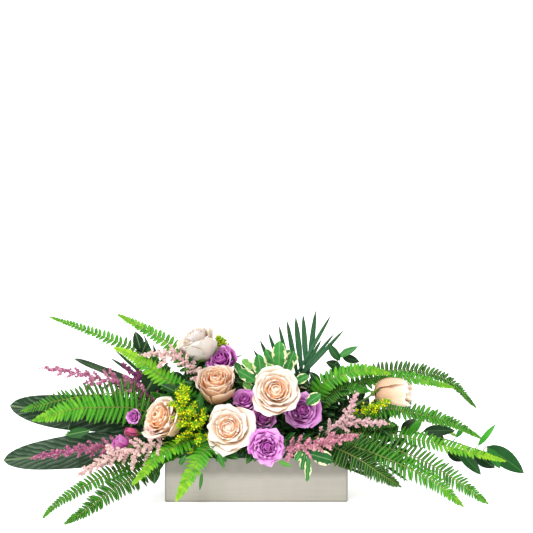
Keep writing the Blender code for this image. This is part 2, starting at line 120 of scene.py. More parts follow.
# Fern fronds: place, route to the tip, leaflet length, the way the blade faces, share of the route
# where leaflets start, pairs of leaflets, leaflet width, freshness at the base and at the tip, lift.
FERNS = {
    "fern_1": ((-98, 26), [(-140, 24, 190), (-200, 22, 240), (-260, 30, 266), (-355, 42, 299)],
        17, (0, -1, 0.7), 0.35, 34, 6.4, 0.3, 0.65, 0.4),
    "fern_2": ((-82, 26), [(-105, 32, 180), (-140, 34, 245), (-190, 50, 275), (-240, 64, 300)],
        18, (0, -1, 0.5), 0.42, 25, 7.4, 0.5, 0.7, 0.1),
    "fern_3": ((-96, 10), [(-120, -4, 170), (-170, 0, 210), (-215, 6, 240), (-240, 10, 250)],
        22, (0, -1, 0.4), 0.3, 29, 6.9, 0.35, 0.9, 0.0),
    "fern_4": ((-132, -10), [(-190, -25, 150), (-275, -42, 158), (-310, -48, 155), (-365, -58, 141)],
        32, (0, -1, 0.3), 0.3, 31, 6.8, 0.3, 0.7, 0.0),
    "fern_5": ((-128, 8), [(-195, -8, 168), (-245, -16, 177), (-320, -25, 169), (-392, -28, 150)],
        27, (0, -1, 0.4), 0.32, 32, 5.8, 0.1, 0.4, 0.1),
    "fern_6": ((-140, -38), [(-205, -82, 72), (-255, -132, 60), (-308, -188, 37), (-327, -205, 20)],
        19, (0.2, -1, 0.6), 0.26, 32, 6.8, 0.25, 0.5, 0.2),
    "fern_7": ((-124, -40), [(-180, -88, 68), (-224, -152, 50), (-264, -204, 29), (-290, -217, 15)],
        27, (0.2, -1, 0.6), 0.26, 34, 7.0, 0.1, 0.35, 0.1),
    "fern_8": ((-92, -40), [(-110, -64, 108), (-155, -95, 92), (-180, -124, 69), (-195, -136, 55)],
        22, (-0.3, -1, 1), 0.2, 25, 7.1, 0.45, 0.85, 0.0),
    "fern_9": ((-64, -40), [(-73, -66, 104), (-90, -86, 88), (-108, -106, 60), (-127, -122, 25)],
        24, (-0.3, -1, 0.8), 0.2, 24, 7.1, 0.4, 0.9, 0.0),
    "fern_10": ((86, 10), [(96, 6, 150), (112, -8, 192), (146, -6, 207), (180, 0, 215), (226, 10, 206)],
        21, (0, -1, 0.7), 0.38, 26, 7.3, 0.4, 0.8, 0.1),
    "fern_11": ((94, -6), [(120, 8, 158), (180, 16, 190), (255, 20, 197), (336, 20, 180)],
        21, (0, -1, 0.6), 0.28, 35, 6.8, 0.25, 0.7, 0.2),
    "fern_12": ((112, 28), [(160, 44, 176), (240, 52, 205), (325, 52, 190), (380, 50, 140)],
        20, (0, -1, 0.6), 0.34, 40, 6.2, 0.12, 0.3, 0.3),
    "fern_13": ((136, -22), [(200, -42, 152), (255, -44, 150), (315, -45, 136), (372, -44, 108)],
        22, (0, -1, 0.8), 0.32, 31, 7.0, 0.25, 0.5, 0.4),
    "fern_14": ((122, -24), [(175, -40, 120), (225, -46, 115), (310, -52, 97), (412, -54, 71)],
        23, (0, -0.9, 1), 0.24, 38, 6.4, 0.2, 0.85, 0.1),
    "fern_15": ((112, -38), [(145, -72, 104), (210, -98, 87), (285, -116, 54), (330, -126, 17)],
        31, (0, -1, 0.8), 0.2, 38, 5.5, 0.1, 0.65, 0.0),
    "fern_16": ((134, -38), [(175, -64, 102), (250, -76, 88), (320, -88, 52), (375, -98, 13)],
        31, (0, -1, 0.7), 0.2, 39, 5.3, 0.1, 0.5, 0.0),
    "fern_17": ((96, -40), [(125, -74, 100), (165, -98, 86), (200, -118, 66), (228, -128, 50)],
        34, (0, -1, 0.9), 0.18, 34, 5.6, 0.0, 0.1, 0.0),
    "fern_18": ((116, 42), [(160, 72, 128), (230, 100, 130), (310, 120, 104), (360, 128, 70)],
        22, (0, 1, 0.8), 0.28, 31, 5.7, 0.3, 0.7, 0.1),
    "fern_19": ((-114, 40), [(-150, 72, 130), (-215, 100, 140), (-300, 122, 110), (-350, 132, 64)],
        24, (0, 1, 0.8), 0.26, 30, 5.9, 0.25, 0.7, 0.1),
    "fern_20": ((-6, 42), [(-13, 72, 104), (-17, 104, 96), (-20, 132, 70), (-22, 150, 34)],
        21, (0, 1, 0.8), 0.22, 21, 7.1, 0.4, 0.95, 0.0),
}
FERN_KEYS = ("place", "route", "length", "facing", "start", "pairs", "width", "fresh", "tip_fresh",
             "lift")

# Broad leaves: place, route, half width, facing, share where the blade starts.
BROAD_LEAVES = {
    "broad_leaf_1": ((-142, 6), [(-200, -2, 126), (-250, -8, 139), (-330, -10, 143), (-415, -14, 156)],
        32, (0, -1, 0.5), 0.22),
    "broad_leaf_2": ((-142, -8), [(-190, -26, 92), (-255, -34, 86), (-340, -42, 78), (-420, -50, 71)],
        30, (0, -1, 0.6), 0.2),
    "broad_leaf_3": ((-130, 26), [(-160, 40, 140), (-200, 44, 172), (-262, 46, 203), (-315, 46, 226)],
        11, (0, -0.5, 1), 0.32),
}

# Astilbe: place, route, length of the side branches, share where flowers start, branches, blush
# (0 pale, 1 deep mauve), heat (0 mauve, 1 salmon).
ASTILBE = {
    "astilbe_1": ((-112, 10), [(-160, 6, 150), (-210, 4, 180), (-290, -8, 208), (-363, -10, 220)],
        29, 0.36, 30, 0.62, 0.1),
    "astilbe_2": ((-114, 26), [(-150, 26, 130), (-190, 20, 165), (-200, 18, 195), (-198, 16, 222)],
        22, 0.42, 20, 0.95, 0.0),
    "astilbe_3": ((-142, -24), [(-190, -52, 98), (-250, -64, 98), (-310, -80, 94), (-368, -92, 85)],
        23, 0.38, 34, 0.72, 0.15),
    "astilbe_4": ((-108, -38), [(-150, -72, 106), (-206, -104, 98), (-250, -116, 84), (-288, -120, 62)],
        29, 0.38, 30, 0.12, 0.3),
    "astilbe_5": ((-66, 24), [(-90, 4, 190), (-114, -4, 224), (-155, 0, 243), (-198, 2, 238)],
        19, 0.52, 25, 0.1, 0.25),
    "astilbe_6": ((88, -24), [(116, -44, 116), (142, -56, 135), (180, -60, 138), (220, -60, 136)],
        22, 0.32, 25, 0.2, 0.1),
    "astilbe_7": ((56, -40), [(60, -74, 98), (92, -92, 106), (130, -96, 116), (168, -98, 126)],
        24, 0.3, 30, 0.5, 0.35),
    "astilbe_8": ((52, 40), [(48, 58, 135), (44, 80, 170), (42, 92, 190), (44, 98, 212)],
        22, 0.42, 25, 0.6, 0.1),
}

# Goldenrod: place, route, length of the side branches, share where buds start, branches.
GOLDENROD = {
    "goldenrod_1": ((-86, -24), [(-92, -52, 118), (-110, -70, 142), (-124, -78, 168), (-116, -76, 202)],
        46, 0.3, 31),
    "goldenrod_2": ((-34, 14), [(-36, 34, 150), (-44, 36, 210), (-56, 28, 250), (-68, 14, 270)],
        13, 0.8, 22),
    "goldenrod_3": ((112, 16), [(150, 4, 128), (180, -28, 146), (198, -48, 162), (222, -56, 174)],
        17, 0.56, 16),
    "goldenrod_4": ((2, 20), [(10, 46, 150), (14, 60, 182), (16, 70, 202), (18, 76, 220)],
        26, 0.45, 22),
}

# Leafy sprigs: place, route of the stem, then each leaf's foot, tip, width, facing, freshness. On the
# ruscus that last value is painted light and shade: blackish green in shade, bright green where light
# falls.
RUSCUS = {
    "ruscus_1": ((98, 12), [(110, 34, 160), (128, 38, 205), (138, 40, 222), (146, 40, 232)], [
        ((143, 36, 224), (122, 32, 254), 15, (-0.3, -1, 0.2), 0.3),
        ((140, 36, 230), (173, 32, 251), 13, (0, -1, 0.7), 0.6),
        ((147, 40, 230), (178, 40, 222), 15, (0.2, -1, 0.4), 0.05),
        ((145, 40, 211), (120, 34, 223), 17, (0, -1, 0.6), 0.0),
        ((128, 38, 202), (158, 36, 210), 18, (0, -1, 0.4), 0.05),
        ((146, 40, 232), (158, 46, 245), 9, (0, -1, 0.2), 0.2)]),
    "ruscus_2": ((140, -6), [(200, -10, 112), (290, -6, 104), (370, -6, 80), (418, -8, 66)], [
        ((256, -12, 103), (280, -16, 136), 14, (-0.2, -1, 0.1), 0.9),
        ((247, -6, 104), (271, 2, 132), 24, (-0.5, -1, 0.3), 0.05),
        ((282, -4, 110), (338, -4, 113), 20, (0, -1, 0.6), 0.1),
        ((338, -6, 100), (352, -12, 122), 9, (0, -1, 0.2), 0.6),
        ((375, -6, 85), (403, -12, 124), 10, (-0.3, -1, 0.2), 0.75),
        ((340, -8, 80), (382, -16, 38), 21, (0, -1, 0.5), 0.25),
        ((366, -4, 74), (408, -2, 46), 25, (0, -1, 0.4), 0.0),
        ((392, -10, 82), (412, -20, 50), 19, (0.1, -1, 0.5), 0.45),
        ((390, -4, 84), (458, -8, 39), 33, (0.1, -1, 0.4), 0.3),
        ((323, -2, 74), (355, 6, 56), 17, (0, -1, 0.4), 0.0),
        ((209, -8, 104), (244, 6, 118), 18, (0, -1, 0.4), 0.05),
        ((300, 0, 104), (322, 10, 82), 20, (0, -1, 0.4), 0.0)]),
}
VARIEGATED = {
    "variegated_sprig_1": ((46, 2), [(44, 2, 150), (43, 3, 190), (40, 4, 205), (36, 5, 216)], [
        ((9, 0, 200), (3, 0, 241), 25, (-0.1, -1, 0.2), 0.35),
        ((38, 4, 216), (39, 2, 263), 25, (0, -1, 0.2), 0.5),
        ((33, 8, 218), (15, 8, 248), 20, (-0.2, -1, 0.3), 0.35),
        ((52, 8, 216), (64, 6, 245), 23, (0.3, -1, 0.3), 0.4),
        ((48, 0, 205), (59, -4, 234), 19, (0.3, -1, 0.3), 0.3),
        ((0, 0, 194), (-30, -2, 214), 22, (0, -1, 0.5), 0.4),
        ((-5, 4, 214), (-24, 6, 232), 15, (0, -1, 0.6), 0.9),
        ((64, -4, 193), (87, -10, 207), 17, (0, -1, 0.4), 0.4),
        ((84, -36, 163), (106, -42, 181), 20, (0.3, -0.8, 0.4), 0.3),
        ((35, -2, 210), (19, -4, 222), 15, (0, -1, 0.6), 0.8),
        ((-24, 6, 202), (-36, 8, 227), 14, (0.5, -1, 0.1), 0.2),
        ((-6, 0, 180), (-22, -4, 194), 14, (0, -1, 0.4), 0.8),
        ((40, 22, 214), (58, 44, 240), 22, (0.4, 0.8, 0.5), 0.3)]),
    "variegated_sprig_2": ((72, -38), [(84, -62, 108), (86, -78, 100), (84, -86, 94), (82, -90, 88)], [
        ((88, -92, 92), (126, -96, 82), 24, (0, -1, 0.3), 0.0),
        ((81, -92, 96), (73, -94, 65), 11, (-0.4, -1, 0.1), 0.1),
        ((84, -94, 90), (85, -97, 46), 12, (0.5, -1, 0.1), 0.3),
        ((76, -84, 98), (64, -90, 80), 13, (0, -0.8, 1), 0.4),
        ((88, -80, 102), (104, -92, 100), 15, (0, -0.8, 1), 0.5)]),
}

# Palm fans: place, route to the hub, facing, then each blade's foot, tip and width.
PALMS = {
    "palm_fan_1": ((60, 16), [(68, 40, 140), (79, 52, 203)], (0, -1, 0.05), [
        ((40, 52, 168), (-7, 50, 243), 8), ((46, 52, 168), (5, 50, 259), 9),
        ((54, 52, 172), (20, 50, 272), 9), ((62, 52, 178), (38, 50, 285), 9),
        ((72, 53, 186), (52, 51, 293), 10), ((79, 52, 190), (67, 50, 299), 10),
        ((87, 53, 190), (80, 51, 303), 10), ((88, 52, 190), (102, 50, 310), 10),
        ((66, 48, 192), (129, 46, 303), 8), ((76, 46, 196), (112, 44, 260), 7),
        ((70, 45, 192), (135, 43, 271), 7), ((72, 44, 190), (151, 42, 278), 7)]),
    "palm_fan_2": ((-98, 40), [(-130, 58, 130), (-165, 62, 165)], (0, -1, 0.3), [
        ((-165, 62, 165), (-254, 52, 227), 7), ((-164, 62, 166), (-245, 52, 240), 7),
        ((-160, 60, 168), (-214, 56, 262), 7), ((-158, 60, 170), (-196, 54, 268), 7),
        ((-163, 62, 162), (-262, 60, 205), 8), ((-158, 60, 166), (-180, 58, 250), 8),
        ((-160, 60, 160), (-250, 62, 176), 8)]),
}

# Leafy filling cut in with each stem: points of a small sprig, pairs of leaves, leaf length and
# width, freshness.
FILLING = {
    "cream_rose_1": [
        ([(-96, 14, 196), (-112, 8, 218), (-132, 2, 240)], 6, 15, 9, 0.75),
        ([(-90, 16, 170), (-98, 12, 206), (-112, 8, 234)], 7, 20, 12, 0.3)],
    "broad_leaf_1": [([(-138, 4, 104), (-156, 2, 104), (-172, 0, 92)], 4, 28, 15, 0.1)],
    "broad_leaf_2": [([(-138, -22, 102), (-158, -28, 98), (-170, -34, 84)], 4, 26, 14, 0.15)],
    "ruscus_2": [
        ([(138, 6, 104), (158, 8, 102), (172, 12, 88)], 4, 28, 15, 0.1),
        ([(136, 30, 102), (156, 40, 98), (168, 48, 84)], 4, 26, 14, 0.15)],
    "astilbe_7": [
        ([(44, -14, 104), (50, -10, 114), (60, -6, 122)], 5, 24, 14, 0.1),
        ([(92, -12, 104), (100, -8, 114), (112, -4, 124)], 5, 24, 14, 0.1)],
    "goldenrod_1": [
        ([(-100, -34, 104), (-106, -42, 120), (-114, -48, 134)], 5, 26, 14, 0.2),
        ([(-66, -22, 104), (-66, -24, 134), (-60, -26, 156)], 6, 24, 13, 0.15)],
    "spray_rose_1": [
        ([(-48, 34, 120), (-46, 40, 165), (-40, 36, 205)], 6, 30, 16, 0.15),
        ([(-58, 34, 170), (-76, 30, 200), (-86, 28, 222)], 6, 24, 13, 0.3)],
    "cream_rose_2": [
        ([(-70, 8, 110), (-88, 8, 150), (-98, 0, 196)], 6, 30, 15, 0.3),
        ([(-84, 12, 120), (-110, 16, 160), (-120, 14, 200)], 6, 30, 18, 0.1)],
    "cream_rose_4": [([(24, 2, 110), (10, 4, 150), (-6, 4, 186)], 6, 28, 15, 0.2)],
    "cream_rose_5": [([(-118, -16, 110), (-130, -14, 150), (-134, -12, 186)], 6, 30, 16, 0.25)],
    "cream_rose_7": [
        ([(-54, 44, 102), (-56, 60, 98), (-58, 68, 86)], 4, 24, 13, 0.25),
        ([(-30, 50, 110), (-20, 52, 150), (-26, 44, 200)], 6, 32, 17, 0.1)],
    "cream_rose_8": [
        ([(56, 44, 102), (54, 60, 98), (52, 68, 84)], 4, 24, 13, 0.3),
        ([(80, 50, 110), (96, 46, 150), (112, 40, 190)], 6, 32, 17, 0.1)],
    "spray_rose_2": [([(-20, 6, 120), (-8, 8, 160), (-14, 4, 196)], 6, 28, 15, 0.15)],
    "spray_rose_3": [([(0, -10, 112), (-2, -14, 130), (-6, -20, 150)], 5, 24, 13, 0.1)],
    "spray_rose_4": [([(60, 4, 115), (86, 12, 140), (108, 6, 172)], 6, 30, 16, 0.1)],
    "cream_rose_3": [
        ([(-20, -40, 102), (-14, -56, 98), (-4, -66, 92)], 5, 24, 12, 0.1),
        ([(-56, -40, 102), (-70, -54, 98), (-78, -64, 90)], 5, 26, 13, 0.2)],
    "spray_rose_5": [
        ([(34, -40, 102), (50, -56, 106), (68, -66, 98)], 5, 26, 14, 0.1),
        ([(-10, -42, 102), (-8, -62, 96), (-2, -74, 82)], 4, 22, 9, 0.4)],
    "spray_rose_7": [([(26, 50, 104), (10, 70, 112), (-6, 84, 104)], 5, 28, 15, 0.3)],
    "variegated_sprig_1": [([(46, 12, 120), (58, 16, 160), (66, 22, 196)], 6, 30, 16, 0.05)],
    "fern_3": [([(-104, 12, 110), (-132, 12, 140), (-170, 10, 172)], 6, 32, 18, 0.05)],
    "astilbe_2": [([(-118, 30, 110), (-142, 30, 150), (-160, 26, 200)], 6, 34, 20, 0.05)],
    "fern_10": [([(90, 10, 115), (114, 6, 150), (144, 4, 184)], 7, 32, 16, 0.1)],
    "fern_11": [([(104, 14, 115), (140, 20, 140), (180, 20, 160)], 7, 30, 16, 0.05)],
    "fern_12": [([(116, 34, 110), (160, 44, 130), (204, 44, 140)], 7, 30, 16, 0.1)],
    "fern_13": [([(140, -20, 110), (180, -34, 122), (216, -38, 128)], 6, 30, 14, 0.05)],
    "fern_8": [([(-100, -44, 104), (-130, -58, 106), (-158, -62, 100)], 6, 28, 15, 0.1)],
    "fern_9": [([(-58, -46, 104), (-58, -62, 98), (-52, -76, 84)], 4, 24, 9, 0.5)],
    "fern_17": [([(92, -44, 104), (124, -62, 108), (156, -68, 98)], 6, 30, 14, 0.0)],
    "fern_16": [([(140, -34, 106), (186, -44, 104), (230, -54, 96)], 7, 28, 14, 0.0)],
    "fern_5": [([(-132, 8, 112), (-170, 0, 128), (-212, -6, 134)], 7, 32, 18, 0.0)],
    "fern_18": [
        ([(100, 44, 102), (108, 58, 98), (112, 66, 84)], 4, 26, 14, 0.15),
        ([(110, 46, 104), (150, 66, 120), (190, 84, 118)], 7, 30, 16, 0.2)],
    "fern_19": [
        ([(-134, 40, 102), (-140, 56, 98), (-146, 64, 84)], 4, 26, 14, 0.2),
        ([(-108, 46, 104), (-144, 66, 118), (-190, 84, 112)], 7, 30, 16, 0.2)],
    "fern_15": [
        ([(120, -30, 104), (180, -46, 92), (246, -58, 74)], 8, 26, 12, 0.0),
        ([(110, -34, 104), (140, -56, 92), (176, -66, 70)], 7, 28, 12, 0.0)],
    "fern_14": [([(110, -24, 106), (140, -34, 118), (176, -40, 116)], 6, 30, 15, 0.0)],
    "fern_1": [([(-94, 30, 104), (-60, 30, 124), (-20, 28, 128)], 7, 34, 20, 0.05)],
    "goldenrod_4": [
        ([(0, 26, 104), (20, 28, 122), (50, 26, 128)], 7, 34, 20, 0.05),
        ([(10, 28, 104), (6, 32, 150), (0, 34, 190)], 7, 30, 17, 0.15)],
    "goldenrod_3": [([(60, 26, 104), (84, 24, 124), (118, 20, 130)], 7, 34, 20, 0.05)],
    "fern_20": [
        ([(-60, 46, 104), (-76, 68, 108), (-84, 86, 92)], 5, 28, 15, 0.25),
        ([(-30, 30, 104), (-64, 26, 120), (-96, 24, 150)], 7, 32, 18, 0.1)],
    "palm_fan_1": [
        ([(64, 26, 104), (76, 30, 124), (104, 30, 136)], 6, 32, 18, 0.05),
        ([(50, 26, 104), (40, 30, 130), (24, 28, 160)], 6, 32, 18, 0.05),
        ([(66, 28, 104), (84, 36, 150), (92, 40, 186)], 6, 34, 18, 0.05)],
    "palm_fan_2": [
        ([(-104, 44, 104), (-136, 48, 130), (-176, 46, 150)], 7, 34, 20, 0.05),
        ([(-100, 44, 104), (-116, 50, 150), (-126, 50, 190)], 7, 34, 20, 0.1)],
    "astilbe_8": [([(50, 46, 108), (58, 66, 130), (66, 80, 140)], 5, 28, 15, 0.2)],
}

# Side spikes of an astilbe: route of the spike, branches, reach.
SIDE_SPIKES = {
    "astilbe_6": [([(146, -56, 124), (152, -58, 150), (166, -58, 188)], 14, 13)],
    "astilbe_2": [([(-196, 20, 186), (-212, 18, 206), (-229, 14, 224)], 9, 9)],
    "astilbe_1": [
        ([(-232, 2, 186), (-240, 0, 202), (-248, -2, 216)], 6, 7),
        ([(-270, -6, 202), (-280, -8, 190), (-286, -8, 182)], 6, 7),
        ([(-200, 4, 178), (-214, 2, 194), (-220, 0, 204)], 6, 7)],
    "astilbe_4": [
        ([(-190, -96, 102), (-196, -112, 92), (-199, -114, 72)], 8, 10),
        ([(-226, -108, 92), (-232, -114, 104), (-240, -116, 112)], 7, 10)],
    "astilbe_5": [
        ([(-128, 0, 232), (-138, -4, 246), (-146, -6, 256)], 6, 9),
        ([(-150, 0, 238), (-158, -4, 228), (-166, -6, 220)], 6, 9)],
    "astilbe_7": [
        ([(60, -74, 98), (56, -92, 94), (50, -100, 84)], 8, 9),
        ([(110, -94, 104), (120, -98, 118), (126, -100, 130)], 7, 9)],
}

# Blooms whose chance petals look best with another start than the usual one.
LUCK = {"cream_rose_1": 41, "cream_rose_2": 19, "cream_rose_3": 7, "cream_rose_5": 41, "cream_rose_6": 7,
        "spray_rose_1": 7, "spray_rose_2": 19, "spray_rose_3": 19, "spray_rose_4": 19, "spray_rose_5": 41}

# Shares of a rose's stem where its own compound leaves grow.
LEAFY = {"cream_rose_2": [0.35], "cream_rose_3": [0.5, 0.75], "cream_rose_4": [0.4, 0.6],
         "cream_rose_5": [0.5, 0.75], "cream_rose_7": [0.4, 0.7], "cream_rose_8": [0.4, 0.7],
         "spray_rose_2": [0.5, 0.7], "spray_rose_3": [0.5, 0.75], "spray_rose_4": [0.5],
         "spray_rose_5": [0.6, 0.8], "spray_rose_7": [0.5, 0.75]}

# Single leaves that show at the edges: foot, tip, width, the way they face, freshness.
EDGE_LEAVES = {
    "astilbe_2": [
        ((-196, 22, 240), (-206, 20, 277), 20, (0.2, -1, 0.1), 0.0),
        ((-196, 22, 238), (-186, 18, 262), 13, (0, -1, 0), 0.0),
        ((-188, 6, 176), (-160, 2, 222), 42, (0.3, -1, 0.2), 0.05),
        ((-190, 20, 228), (-222, 16, 244), 12, (0, -1, 0.2), 0.0)],
    "spray_rose_1": [((-44, 12, 228), (-25, 8, 241), 5, (0, -0.5, 1), 0.4)],
    "cream_rose_2": [((-97, -38, 146), (-91, -42, 186), 13, (0.3, -1, 0.1), 0.6)],
    "broad_leaf_1": [((-312, -60, 116), (-274, -66, 126), 18, (0, -1, 0.4), 0.3)],
    "fern_8": [
        ((-166, -56, 72), (-168, -64, 34), 18, (0.2, -1, 0.1), 0.3),
        ((-150, -60, 78), (-176, -66, 46), 12, (0.2, -1, 0.1), 0.4)],
    "fern_9": [
        ((-62, -98, 96), (-51, -102, 70), 9, (0, -1, 0.2), 0.6),
        ((-87, -116, 68), (-89, -120, 38), 6, (0.4, -1, 0), 0.5),
        ((-124, -98, 76), (-114, -104, 92), 9, (0, -1, 0.2), 0.5)],
    "spray_rose_5": [((36, -100, 82), (58, -108, 75), 7, (0, -1, 0.3), 0.8)],
    "fern_17": [
        ((150, -76, 66), (184, -80, 52), 5, (0, -1, 0.3), 0.0),
        ((174, -76, 72), (200, -80, 56), 5, (0, -1, 0.3), 0.0),
        ((186, -76, 72), (212, -82, 46), 5, (0, -1, 0.3), 0.0),
        ((208, -76, 72), (251, -84, 44), 5, (0, -1, 0.3), 0.05),
        ((140, -78, 66), (208, -84, 53), 4, (0, -1, 0.5), 0.2)],
}

# Short fronds that fill in beside a main one: route, leaflet length, facing, pairs, leaflet
# width, freshness at the base and at the tip.
SIDE_FRONDS = {
    "fern_8": [
        ([(-70, -50, 112), (-88, -62, 110), (-110, -66, 96)], 9, (0, -0.6, 1), 22, 4.7, 0.6, 1.0),
        ([(-100, -46, 108), (-120, -70, 96), (-150, -84, 76)], 16, (-0.3, -0.6, 1), 24, 6.5, 0.2, 0.5)],
    "fern_15": [
        ([(120, -44, 108), (170, -62, 100), (240, -78, 76)], 22, (0, -1, 0.6), 35, 5.7, 0.0, 0.1)],
    "fern_17": [
        ([(90, -44, 106), (120, -72, 96), (150, -86, 70)], 24, (0, -1, 0.6), 27, 5.7, 0.0, 0.1),
        ([(104, -44, 108), (150, -72, 108), (204, -86, 92)], 24, (0, -1, 0.6), 32, 5.7, 0.0, 0.15)],
    "fern_10": [

        ([(92, 4, 130), (112, -4, 166), (150, -8, 184), (190, -8, 180)],
         20, (0, -0.8, 0.6), 32, 6.0, 0.1, 0.4)],
    "fern_13": [
        ([(136, -24, 116), (176, -44, 134), (230, -52, 132)], 20, (0, -1, 0.7), 24, 4.4, 0.05, 0.3)],
    "fern_3": [([(-100, 6, 116), (-134, -6, 150), (-176, -8, 176)], 18, (0, -1, 0.4), 30, 6.0, 0.1, 0.3)],
    "fern_19": [([(-70, 44, 110), (-86, 84, 120), (-100, 120, 96)], 20, (0, 1, 0.8), 32, 6.2, 0.2, 0.6)],
    "fern_18": [([(76, 44, 110), (92, 84, 122), (108, 122, 92)], 20, (0, 1, 0.8), 32, 6.2, 0.2, 0.6)],
}

# ---------------------------------------------------------------- small geometry helpers


def unit(v):
    v = np.asarray(v, float)
    return v / np.linalg.norm(v)


def peg(place):
    """The straight end of a stem in the foam: its buried end, and its collar above the surface."""
    entry = np.array([place[0], place[1], FOAM_TOP], float)
    lean = np.array([entry[0] * PEG_LEAN_X, entry[1] * PEG_LEAN_Y, PEG_DEPTH])
    return entry - lean, entry + unit(lean) * COLLAR


def smooth_route(points, steps):
    """Points on a smooth curve through the given ones, steps to each span."""
    points = [np.asarray(p, float) for p in points]
    ends = [points[0] * 2 - points[1]] + points + [points[-1] * 2 - points[-2]]
    out = [points[0]]
    for a, b, c, d in zip(ends, ends[1:], ends[2:], ends[3:]):
        for i in range(1, steps + 1):
            t = i / steps
            square = (a * 2 - b * 5 + c * 4 - d) * t * t
            cube = (b * 3 - a - c * 3 + d) * t * t * t
            out.append((b * 2 + (c - a) * t + square + cube) * 0.5)
    return np.array(out)


def stem_route(place, route, steps=8):
    buried, collar = peg(place)
    return np.vstack([buried[None, :], smooth_route([collar] + list(route), steps)])


class Route:
    """A path with its length, and a frame at any share of it: place, direction, side, facing."""

    def __init__(self, path, facing):
        self.path = path
        gaps = np.linalg.norm(np.diff(path, axis=0), axis=1)
        self.marks = np.concatenate([[0.0], np.cumsum(gaps)])
        self.length = self.marks[-1]
        self.marks /= self.length
        self.facing = unit(facing)

    def place(self, share):
        return np.array([np.interp(share, self.marks, self.path[:, i]) for i in range(3)]).T

    def nearest(self, spot):
        return self.path[np.argmin(np.linalg.norm(self.path - spot, axis=1))]

    def frame(self, share):
        step = 0.012
        ahead = self.place(min(1.0, share + step)) - self.place(max(0.0, share - step))
        along = unit(ahead)
        side = unit(np.cross(along, self.facing))
        return self.place(share), along, side, np.cross(side, along)


# ---------------------------------------------------------------- piece: many shapes in one mesh


class Piece:
    """Gathers shapes in millimetres, each with its material and its point values, as one mesh.
    The values say how far along and across its blade a point is, how far out its petal is in the
    bloom, whether it is on the outer face, its freshness, and how grey or how tan its rose is."""

    VALUES = ("along", "across", "ring", "outer", "tint", "pale", "tan")

    def __init__(self, name, materials):
        luck = SEED + sum(name.encode()) + LUCK.get(name.rsplit("_", 1)[0], 0)
        RNG.bit_generator.state = np.random.PCG64(luck).state
        self.name = name
        self.materials = materials
        self.points = []
        self.loops = []
        self.totals = []
        self.slots = []
        self.values = {key: [] for key in self.VALUES}
        self.count = 0

    def add(self, points, loops, totals, slot=0, **values):
        self.points.append(points)
        self.loops.append(loops + self.count)
        self.totals.append(totals)
        self.slots.append(np.full(len(totals), slot))
        for key in self.VALUES:
            given = values.get(key, 0.0)
            self.values[key].append(np.broadcast_to(np.asarray(given, float), (len(points),)))
        self.count += len(points)

    def leaf_slot(self):
        """The slot of the plain leaf material, added to the piece the first time it is asked for."""
        if ROSE_LEAF_GREEN not in self.materials:
            self.materials.append(ROSE_LEAF_GREEN)
        return self.materials.index(ROSE_LEAF_GREEN)

    def finish(self, node, slot):
        points = np.concatenate(self.points) * MM
        loops = np.concatenate(self.loops)
        totals = np.concatenate(self.totals)
        mesh = bpy.data.meshes.new(self.name)
        mesh.vertices.add(len(points))
        mesh.vertices.foreach_set("co", points.astype(np.float32).ravel())
        mesh.loops.add(len(loops))
        mesh.loops.foreach_set("vertex_index", loops.astype(np.int32))
        mesh.polygons.add(len(totals))
        starts = np.concatenate([[0], np.cumsum(totals)[:-1]])
        mesh.polygons.foreach_set("loop_start", starts.astype(np.int32))
        mesh.polygons.foreach_set("material_index", np.concatenate(self.slots).astype(np.int32))
        mesh.update(calc_edges=True)
        mesh.validate()
        for key in self.VALUES:
            layer = mesh.attributes.new(key, "FLOAT", "POINT")
            layer.data.foreach_set("value", np.concatenate(self.values[key]).astype(np.float32))
        for material in self.materials:
            mesh.materials.append(material)
        mesh.shade_smooth()
        mesh.set_sharp_from_angle(angle=SHARP_EDGE)
        obj = bpy.data.objects.new(self.name, mesh)
        bpy.context.scene.collection.objects.link(obj)
        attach(obj, "root")
        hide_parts(node)
        return obj


# ---------------------------------------------------------------- blanks, modelled once


class Blank:
    """A finished master shape: points, loops and face sizes, read off its object, which then goes."""

    def __init__(self, obj):
        mesh = obj.data
        self.points = np.array([v.co[:] for v in mesh.vertices])
        self.loops = np.concatenate([np.array(p.vertices[:]) for p in mesh.polygons])
        self.totals = np.array([len(p.vertices) for p in mesh.polygons])
        bpy.data.objects.remove(obj, do_unlink=True)


def deselect():
    if bpy.context.object and bpy.context.object.mode != "OBJECT":
        bpy.ops.object.mode_set(mode="OBJECT")
    bpy.ops.object.select_all(action="DESELECT")


def pick_row(obj, height):
    """Selects the points at one height and leaves the object in edit mode."""
    bpy.ops.object.mode_set(mode="EDIT")
    bpy.ops.mesh.select_all(action="DESELECT")
    bpy.ops.object.mode_set(mode="OBJECT")
    for v in obj.data.vertices:
        v.select = abs(v.co.y - height) < 1e-4
    bpy.ops.object.mode_set(mode="EDIT")


def blade_blank(columns, rows, outline, tip_drop):
    """A flat blade, 1 long and 2 wide at its widest. outline gives its width row by row, and
    tip_drop how far the corners of each row sink, which rounds or points the tip. Then it is
    made 2 thick, so that a copy can be given any real thickness."""
    deselect()
    bpy.ops.mesh.primitive_grid_add(x_subdivisions=columns, y_subdivisions=rows, size=2)
    obj = bpy.context.object
    bpy.ops.object.mode_set(mode="EDIT")
    bpy.ops.mesh.select_all(action="SELECT")
    bpy.ops.transform.translate(value=(0, 1, 0))
    bpy.ops.transform.resize(value=(1, 0.5, 1), center_override=(0, 0, 0))
    bpy.ops.object.mode_set(mode="OBJECT")
    for height in sorted({round(v.co.y, 5) for v in obj.data.vertices}):
        pick_row(obj, height)
        width = max(LEAST_WIDTH, outline(height))
        bpy.ops.transform.resize(value=(width, 1, 1), center_override=(0, height, 0))
        bpy.ops.object.mode_set(mode="OBJECT")
    for v in obj.data.vertices:
        v.co.y -= tip_drop * v.co.x * v.co.x * v.co.y ** 2
    thick = obj.modifiers.new("thickness", "SOLIDIFY")
    thick.thickness = 2.0
    thick.offset = 0.0
    bpy.ops.object.modifier_apply(modifier=thick.name)
    return Blank(obj)


